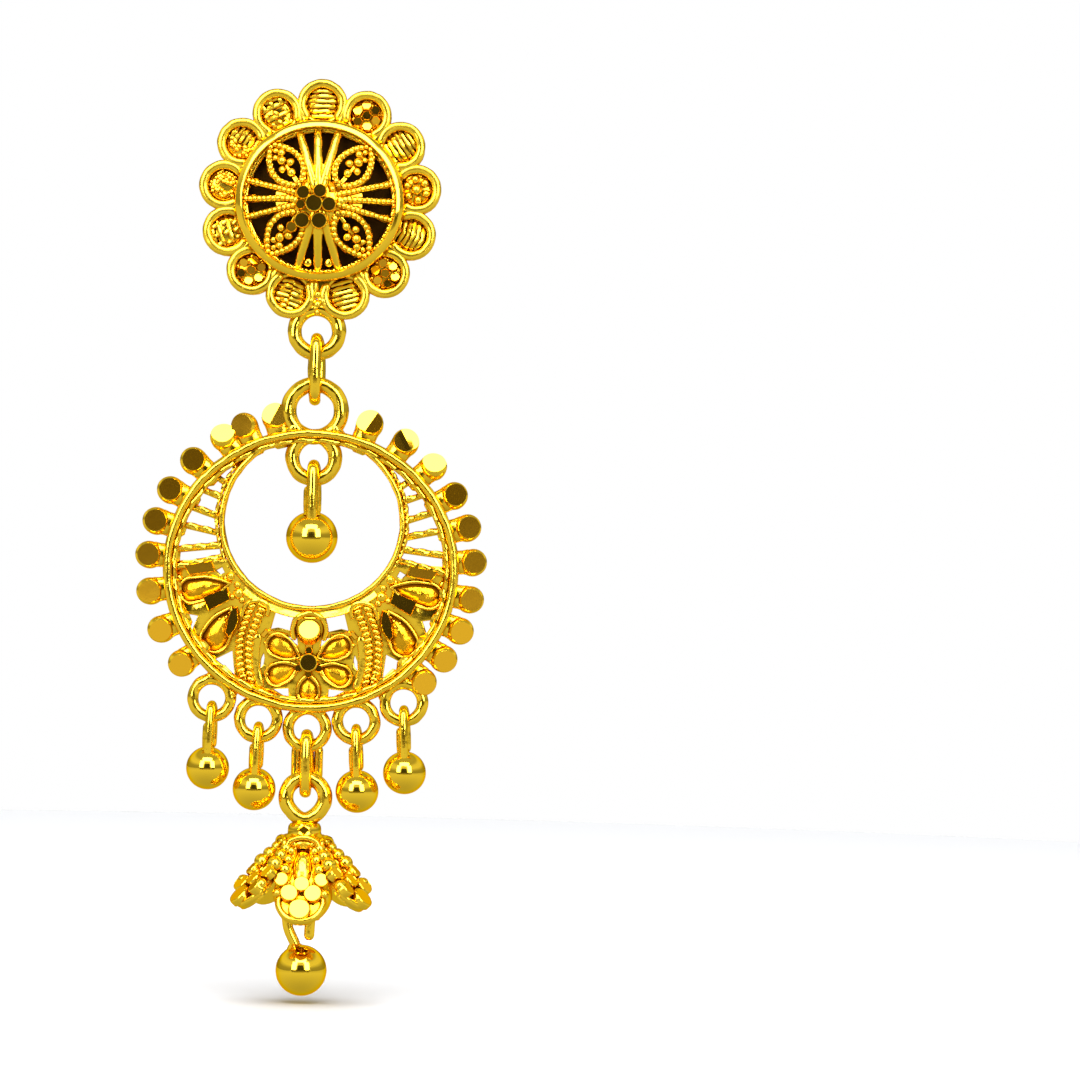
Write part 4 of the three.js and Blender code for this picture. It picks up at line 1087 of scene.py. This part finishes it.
bm = bmesh.new()
for degrees, across, up in RIM_STUDS:
    at = on_oval(degrees, STUD_ORBIT_X, STUD_ORBIT_Y) + Vector((0, 0, 0.1))
    foot = on_oval(degrees, RIM_X - 0.4, RIM_Y - 0.4)
    head = bmesh.new()
    turned(head, STUD_HEAD, 36)
    cut_flat(head, Vector((0, 0, 0.44)), Vector((math.tan(math.radians(across)), math.tan(math.radians(up)), 1)))
    if degrees in SECOND_CUTS:
        across, up = (math.tan(math.radians(lean)) for lean in SECOND_CUTS[degrees])
        cut_flat(head, Vector((0.12 if across < 0 else -0.12, 0, 0.45)), Vector((across, up, 1)))
    inward = (foot - at).normalized()
    for v in head.verts:
        v.co += (inward * 0.3 + Vector((0, -0.1, 0))) * max(0.0, 0.4 - v.co.z)
    head.transform(Matrix.Translation(at))
    add_mesh(bm, head)
    stem = [at.lerp(foot, t) + Vector((0, 0, -0.1)) for t in (0.3, 0.55, 0.8, 0.95)]
    tube(bm, stem, [0.9, 0.84, 0.84, 0.9], sides=20, flat=0.55)
piece("crescent_rim_studs", bm, CRESCENT_PLACE, [cast_gold, cut_gold], "crescent", "cast_gold", "crescent_frame",
      sharp=25)

# ------------------------------------------------------------------------------- ball drops
# Five polished balls hang from the crescent's rings. Each is threaded on a loop of wire that goes
# through the ring, with its two ends side by side behind, and is soldered where the wire enters.
UPRIGHT = Matrix.Rotation(math.radians(-90), 4, "X")  # stands a turned profile up


def round_ball(bm, radius):
    """A large smooth ball about the origin."""
    bmesh.ops.create_uvsphere(bm, u_segments=64, v_segments=40, radius=radius)
    smoothed(bm.faces)


def ball_drop(name, node, ball_radius, wire, splay, lean=0.0):
    """A ball and its loop, measured from its node in the frame; it hangs from the ring at a lean in
    degrees, to the viewer's right if that is above zero."""
    low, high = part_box(node)
    middle_x, middle_y = (low.x + high.x) / 2, (low.y + high.y) / 2
    origin = Matrix.Translation((middle_x, middle_y, low.z + ball_radius * MM))
    top = (high.z - low.z) / MM - ball_radius
    bm = bmesh.new()
    round_ball(bm, ball_radius)
    depth = wire + 0.5
    half = (top - wire - 0.1) / 2
    loop = [p + Vector((0, half + 0.1, 0)) for p in link_path(half, depth, splay, lap=10)]
    tube(bm, loop, wire, up=SIDEWAYS, sides=14, finish=1)
    forward = depth * 0.62
    collar = [(0.0, 0.2), (wire * 1.05, 0.12), (wire * 1.3, 0.0), (wire * 1.55, -0.16), (0.0, -0.3)]
    seat = math.sqrt(ball_radius ** 2 - forward ** 2)
    turned(bm, collar, 20, Matrix.Translation((0, seat, forward)) @ UPRIGHT, finish=1)
    pivot = Matrix.Translation((0, top - wire, 0))
    bm.transform(pivot @ Matrix.Rotation(math.radians(lean), 4, "Z") @ pivot.inverted())
    piece(name, bm, origin, [polished_gold, wire_gold], "crescent", "polished_gold", node)


ball_drop("middle_drop", "centre_ball_drop", 1.8, 0.41, (-0.3, 0.16))
for where, lean in (("far_left", -2.2), ("near_left", -2.4), ("near_right", 2.4), ("far_right", 2.2)):
    ball_drop("drop_" + where, "ball_drop_" + where, 1.5, 0.315, (-0.26, 0.16), lean)

# ------------------------------------------------------------------------------ bell: hanger
# The bell hangs from the lowest ring on a wire link with a second, wider coil of the same wire
# behind it.
hanger_low, hanger_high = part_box("bell_link")
HANGER_WIRE = 0.4
hanger_place = Matrix.Translation((0, pin["bell_swing"].y, (hanger_low.z + hanger_high.z) / 2))
half_height = (hanger_high.z - hanger_low.z) / 2 / MM - HANGER_WIRE
bm = bmesh.new()
tube(bm, link_path(half_height, 1.05, (-0.1, 0.1)), HANGER_WIRE, up=SIDEWAYS, sides=16)
coil = [Vector((p.x, p.y + math.copysign(0.72, p.y), -1.12)) for p in oval(0.8, 0.8, 48)]
tube(bm, coil, 0.31, sides=14, closed=True)
piece("bell_hanger_wire", bm, hanger_place, [wire_gold], "bell_hanger", "gold_wire", "bell_link",
      uneven=0.03, wave=0.7)

# ----------------------------------------------------------------------- bell: loop and collar
# The bell's top is a heavy ring drawn in to a neck, a collar with a small cut face, and five small arches of wire
# where the petals begin.
BELL_PLACE = Matrix.Translation(pin["bell_swing"])
LOOP_RADIUS, LOOP_WIRE = 1.36, 0.52
LOOP_Y = -0.39

bm = bmesh.new()
loop = []
for p in oval(LOOP_RADIUS, LOOP_RADIUS, 64):
    below = max(0.0, -p.y)
    loop.append(Vector((p.x * (1 - 0.22 * (below / LOOP_RADIUS) ** 2), p.y - 0.12 * below + LOOP_Y, 0)))
tube(bm, loop, LOOP_WIRE, sides=16, closed=True)
collar = [
    (0.0, -2.0), (0.74, -2.08), (1.02, -2.2), (1.14, -2.4), (1.17, -2.65), (1.16, -2.85), (1.24, -2.98),
    (1.38, -3.08), (1.5, -3.25), (1.58, -3.5), (1.4, -3.85), (0.0, -4.1),
]
turned(bm, collar, 40, UPRIGHT)
block(bm, [(0.44, -2.55), (0, -2.26), (-0.44, -2.55), (0, -2.88)], 1, 0.0, -0.05, 0.6, 1.3, lambda spot: 0.0)
for k in range(5):
    hood = [Vector((x, y, z)) for x, y, z in (
        (-1.12, -3.75, 1.7), (-0.85, -3.3, 1.66), (0, -3.1, 1.62), (0.85, -3.3, 1.66), (1.12, -3.75, 1.7))]
    turn = Matrix.Rotation(math.radians(72 * k), 3, "Y")
    tube(bm, [turn @ p for p in curve_through(hood, 5)], 0.16, up=turn @ TOWARDS, sides=10)
piece("bell_loop", bm, BELL_PLACE, [wire_gold, cut_gold], "bell", "cast_gold", "bell_flower", uneven=0.035, wave=0.6)

# ------------------------------------------------------------------------------ bell: petals
# Five cast petals lean out from the collar. Each is a shallow dish with a row of growing grains
# along both edges, a plain channel down its middle and bright cut discs at its end.
PETAL_HALF_WIDTH = 1.8
FLAT_GRAIN = 0.5  # the largest grain of an edge row, which is cut flat
EDGE_GRAINS = [(0.5, 0.28), (1.06, 0.33), (1.72, 0.39), (2.46, 0.45), (3.28, FLAT_GRAIN), (4.25, 0.32)]
DISCS = [  # from the petal's end, across, radius, lean along, lean across
    (2.95, 0.02, 0.55, 0.02, 0.0), (2.25, -0.82, 0.62, 0.02, -0.1), (2.25, 0.82, 0.62, 0.06, 0.1),
    (1.05, -0.05, 0.76, 0.0, 0.0),
]


def bell_petal(bm, degrees, lean, length, fullness=1.0):
    """One petal, drawn lying along x and then leaned down and turned to its place; fullness makes
    its edge grains larger and sets its discs further apart."""
    straight = length - PETAL_HALF_WIDTH

    def half(along):
        if along < straight:
            return 0.55 + (PETAL_HALF_WIDTH - 0.55) * (along + 0.2) / (straight + 0.2)
        return math.sqrt(max(0.0, PETAL_HALF_WIDTH ** 2 - (along - straight) ** 2))

    leaf = bmesh.new()
    upper = [Vector((a, half(a), 0)) for a in [-0.2 + (straight + 0.2) * i / 14 for i in range(14)]]
    tip = oval(PETAL_HALF_WIDTH, PETAL_HALF_WIDTH, 21, start=88, end=-88, centre=(straight, 0))
    outline = wound(upper + tip + [Vector((p.x, -p.y, 0)) for p in reversed(upper)], 1)
    trimmed = 0.5 * (fullness - 1)
    plate(leaf, moved_in(outline, 0.1 + trimmed), [], -0.62, -0.28, 0.1, 2)
    edge_wire = [p + Vector((0, 0, -0.28)) for p in moved_in(outline, 0.24 + trimmed)]
    tube(leaf, edge_wire, 0.24 / fullness, sides=14, closed=True, flat=1.5)
    tongue = Matrix.Translation((length - 4.25, 0, -0.3)) @ Matrix.Diagonal((1.5, 0.68, 0.42, 1))
    lump(leaf, tongue, 1.0, 3)
    for from_end, across, radius, tip_lean, side_lean in DISCS:
        tilt = Matrix.Rotation(tip_lean, 4, "Y") @ Matrix.Rotation(side_lean, 4, "X")
        at = Vector((length - from_end / fullness, across * fullness ** 2, 0.16 + 0.8 * (fullness - 1)))
        facet(leaf, at, radius, 0.9 - 1.6 * (fullness - 1), 24, tilt)
    for side in (-1, 1):
        for along, grain in EDGE_GRAINS:
            at = Vector((along, side * (half(along) - 0.06), 0.12))
            if grain == FLAT_GRAIN:
                facet(leaf, at + Vector((0, 0, 0.25)), grain, 0.5, 16, Matrix.Rotation(-0.12 * side, 4, "X"))
            else:
                ball(leaf, at, grain * fullness, 3)
    for across in (-0.95, 0.95):
        ball(leaf, Vector((length - 3.05, across, 0.0)), 0.24)
    leaf.transform(
        Matrix.Rotation(math.radians(degrees), 4, "Y")
        @ Matrix.Translation((0.9, -3.15, 0))
        @ Matrix.Rotation(math.radians(-lean), 4, "Z")
        @ UPRIGHT)
    add_mesh(bm, leaf)


bm = bmesh.new()
bell_petal(bm, -90, 62, 6.45)
for beside, lean, length in ((-136, 51, 6.2), (-64, 48, 6.35), (64, 48, 6.35), (136, 51, 6.2)):
    bell_petal(bm, -90 + beside, lean, length, 1.25)
piece("bell_petals", bm, BELL_PLACE, [cast_gold, cut_gold], "bell", "cast_gold", "bell_flower", uneven=0.02, wave=0.6)

# -------------------------------------------------------------------------------- bell: cup
# Inside the petals a small round cup hangs open end down, with a bar across its mouth.
CUP_RADIUS, CUP_WALL, CUP_Y = 2.05, 0.4, -7.15



def cup_profile(radius, degrees):
    """Points of the cup's round profile, as (radius, height) pairs."""
    return [(radius * math.cos(math.radians(a)), CUP_Y + radius * math.sin(math.radians(a))) for a in degrees]


bm = bmesh.new()
inside_radius = CUP_RADIUS - CUP_WALL
outside = cup_profile(CUP_RADIUS, range(-52, 90, 6))
inside = cup_profile(inside_radius, range(84, -47, -6))
lip = [(1.02 * outside[0][0] - 0.1, outside[0][1] - 0.12)]
profile = [(0.0, CUP_Y + CUP_RADIUS)] + outside[::-1] + lip + inside[::-1] + [(0.0, CUP_Y + inside_radius)]
turned(bm, profile, 48, UPRIGHT)
tube(bm, [Vector((0, y, 0)) for y in (-3.6, -4.5, -5.4)], [0.5, 0.46, 0.6], up=SIDEWAYS)
tube(bm, [Vector((0, -7.9, z)) for z in (-1.85, 0, 1.85)], 0.22, up=Vector((0, 1, 0)))
piece("bell_cup", bm, BELL_PLACE, [cast_gold], "bell", "cast_gold", "bell_flower", uneven=0.02, wave=1.0)

# ------------------------------------------------------------------------- bell: lowest ball
# The last ball hangs on an open hook of wire: it rises from the ball, bends over the bar in the
# cup and comes down again as a cut stub.
hook_low, hook_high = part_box("bottom_ball_drop")
LAST_BALL = 1.785
HOOK_WIRE = 0.365
last_place = Matrix.Translation((0, pin["bell_swing"].y, hook_low.z + LAST_BALL * MM))
hook_top = (hook_high.z - hook_low.z) / MM - LAST_BALL - HOOK_WIRE
hook = [
    (-0.25, 1.2), (-0.5, 1.9), (-0.98, 3.0), (-1.06, hook_top - 0.9), (-0.75, hook_top - 0.22), (-0.15, hook_top),
    (0.38, hook_top - 0.28), (0.56, hook_top - 0.9), (0.5, 2.45),
]
collar = [(0.0, 0.25), (0.42, 0.16), (0.52, 0.02), (0.62, -0.2), (0.0, -0.4)]
bm = bmesh.new()
round_ball(bm, LAST_BALL)
tube(bm, curve_through(half_line(hook, 0), 10), HOOK_WIRE, sides=16, finish=1)
turned(bm, collar, 20, Matrix.Translation((-0.42, 1.68, 0)) @ UPRIGHT, finish=1)
piece("lowest_drop", bm, last_place, [polished_gold, wire_gold], "bell", "polished_gold", "bottom_ball_drop")

# ----------------------------------------------------------------------------------- studio
# A round white table top under the earring, in an empty white surround. The gold mirrors three soft windows, a card
# painted as a reflection of the lit table and a dark band, and the camera's card, which the camera itself doesn't
# see. Two more soft lights, from the front and overhead, light the table but aren't mirrored.
FLOOR_GAP = 0.5  # the lowest ball hangs just clear of the table
TABLE_RADIUS, TABLE_SIDES = 210, 96
CARD_AWAY = 0.4
low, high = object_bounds()
floor_z = low.z - FLOOR_GAP * MM


def plain(name, shade, roughness):
    """A plain matt studio surface."""
    material = bpy.data.materials.new(name)
    material.use_nodes = True
    shader = material.node_tree.nodes["Principled BSDF"]
    shader.inputs["Base Color"].default_value = colour(shade)
    shader.inputs["Roughness"].default_value = roughness
    return material


def studio_piece(name, points, material, mirrored):
    """A flat surface of the studio, which is not part of the earring: either the gold mirrors it, or
    the camera sees it."""
    mesh = bpy.data.meshes.new(name)
    mesh.from_pydata(points, [], [range(len(points))])
    mesh.materials.append(material)
    made = bpy.data.objects.new(name, mesh)
    made.visible_glossy = mirrored
    made.visible_camera = not mirrored
    bpy.context.scene.collection.objects.link(made)


def upright_card(name, half_width, bottom, top, material):
    """A card that stands across the view, at the distance of the camera."""
    corners = [(-half_width, bottom), (half_width, bottom), (half_width, top), (-half_width, top)]
    studio_piece(name, [(x, -CARD_AWAY, z) for x, z in corners], material, mirrored=True)


white_paper = plain("white_paper", "#F4F5F8", 0.9)
points = [(p.x * MM, p.y * MM, floor_z) for p in oval(TABLE_RADIUS, TABLE_RADIUS, TABLE_SIDES)]
studio_piece("table_top", points, white_paper, mirrored=False)

EARRING_HEART = Vector((0, 0, -0.024))
WINDOW_LIGHT = 9.0
WINDOWS = [  # name, bearing from the front, elevation, width and height
    ("window_left", -31, 20, (0.15, 0.26)), ("window_right", 31, 20, (0.15, 0.26)),
    ("window_top", 0, 49, (0.36, 0.15)),
]


def light(name, around, height, size, radiance, away=0.42):
    """A soft panel that faces the earring, placed by its bearing from the front and its elevation
    in degrees, and by its brightness."""
    lamp = bpy.data.lights.new(name, "AREA")
    lamp.shape = "RECTANGLE"
    lamp.size, lamp.size_y = size
    lamp.energy = radiance * math.pi * size[0] * size[1]
    made = bpy.data.objects.new(name, lamp)
    a, e = math.radians(around), math.radians(height)
    way = Vector((math.sin(a) * math.cos(e), -math.cos(a) * math.cos(e), math.sin(e)))
    made.location = EARRING_HEART + way * away
    made.rotation_euler = way.to_track_quat("Z", "Y").to_euler()
    made.visible_camera = False
    bpy.context.scene.collection.objects.link(made)
    return made


for name, around, height, size in WINDOWS:
    light(name, around, height, size, WINDOW_LIGHT).visible_diffuse = False
light("paper_light", 0, 50, (0.4, 0.4), 1.7, 0.44).visible_glossy = False
light("overhead", 0, 86, (0.45, 0.6), 4.3, 0.5).visible_glossy = False

dark_card = plain("black_card", "#333333", 0.9)
upright_card("camera_side", 0.1, -0.01, 0.15, dark_card)

# A card that only the gold mirrors, painted as a reflection: pale cream low down in place of the lit table top, which
# the gold doesn't mirror, fading to dim olive at eye level as a painted dark band.
painted_horizon_card = plain("painted_horizon_card", "#8F864F", 0.9)
tree = painted_horizon_card.node_tree
height = add_node(tree, "ShaderNodeSeparateXYZ", Vector=add_node(tree, "ShaderNodeTexCoord").outputs["Object"])
fade = add_node(
    tree, "ShaderNodeMapRange", Value=height.outputs["Z"], From_Min=-0.09, From_Max=-0.036)
painted_fade = add_node(
    tree, "ShaderNodeMix", {"data_type": "RGBA"}, Factor=fade.outputs["Result"], i6=colour("#FFF5CA"),
    i7=colour("#7A7040"))
tree.links.new(painted_fade.outputs[2], tree.nodes["Principled BSDF"].inputs["Base Color"])
upright_card("painted_horizon_card", 0.34, -0.09, -0.004, painted_horizon_card)

# The room as the gold mirrors it: paper below, a dim band at eye level, a pale wall and a dim
# ceiling, all warm from the wood around. Its light on the table is faint, and behind it is white.
ROOM = [  # from straight down (0) to straight up (1), and how bright the room is there
    (0.0, 0.55), (0.42, 0.88), (0.495, 0.74), (0.505, 0.36), (0.6, 0.42), (0.7, 0.95), (0.8, 0.9), (0.87, 0.5),
    (1.0, 0.55),
]
world = bpy.data.worlds.new("studio_air")
world.use_nodes = True
tree = world.node_tree
way = add_node(tree, "ShaderNodeTexCoord").outputs["Generated"]
height = add_node(tree, "ShaderNodeSeparateXYZ", Vector=way).outputs["Z"]
ramp = add_node(tree, "ShaderNodeValToRGB", Fac=add_node(
    tree, "ShaderNodeMapRange", Value=height, From_Min=-1.0, From_Max=1.0).outputs["Result"])
stops = ramp.color_ramp.elements
for at, grey in ROOM:
    stop = stops[0] if at == 0.0 else stops[-1] if at == 1.0 else stops.new(at)
    stop.color = (grey, grey, grey, 1)
warm = add_node(
    tree, "ShaderNodeMix", {"data_type": "RGBA", "blend_type": "MULTIPLY"}, Factor=1.0, i6=ramp.outputs["Color"],
    i7=(0.87, 0.855, 0.6, 1.0))
rays = add_node(tree, "ShaderNodeLightPath").outputs
unseen = add_node(
    tree, "ShaderNodeMix", {"data_type": "RGBA"}, Factor=rays["Is Glossy Ray"], i6=(0.16, 0.16, 0.16, 1.0),
    i7=warm.outputs[2])
seen = add_node(
    tree, "ShaderNodeMix", {"data_type": "RGBA"}, Factor=rays["Is Camera Ray"], i6=unseen.outputs[2],
    i7=(1.0, 1.0, 1.0, 1.0))
tree.links.new(seen.outputs[2], tree.nodes["Background"].inputs["Color"])
bpy.context.scene.world = world
bpy.context.scene.view_settings.view_transform = "Standard"

# A long lens level with the earring, rolled a little, because the earring hangs a little slanted.
CAMERA_ROLL = -1.43
camera_data = bpy.data.cameras.new("camera")
camera_data.lens = 150
camera_data.sensor_width = 36
camera = bpy.data.objects.new("camera", camera_data)
camera.location = (0.0159, -0.3145, -0.0232)
camera.rotation_euler = (math.radians(90), math.radians(CAMERA_ROLL), 0)
bpy.context.scene.collection.objects.link(camera)
bpy.context.scene.camera = camera
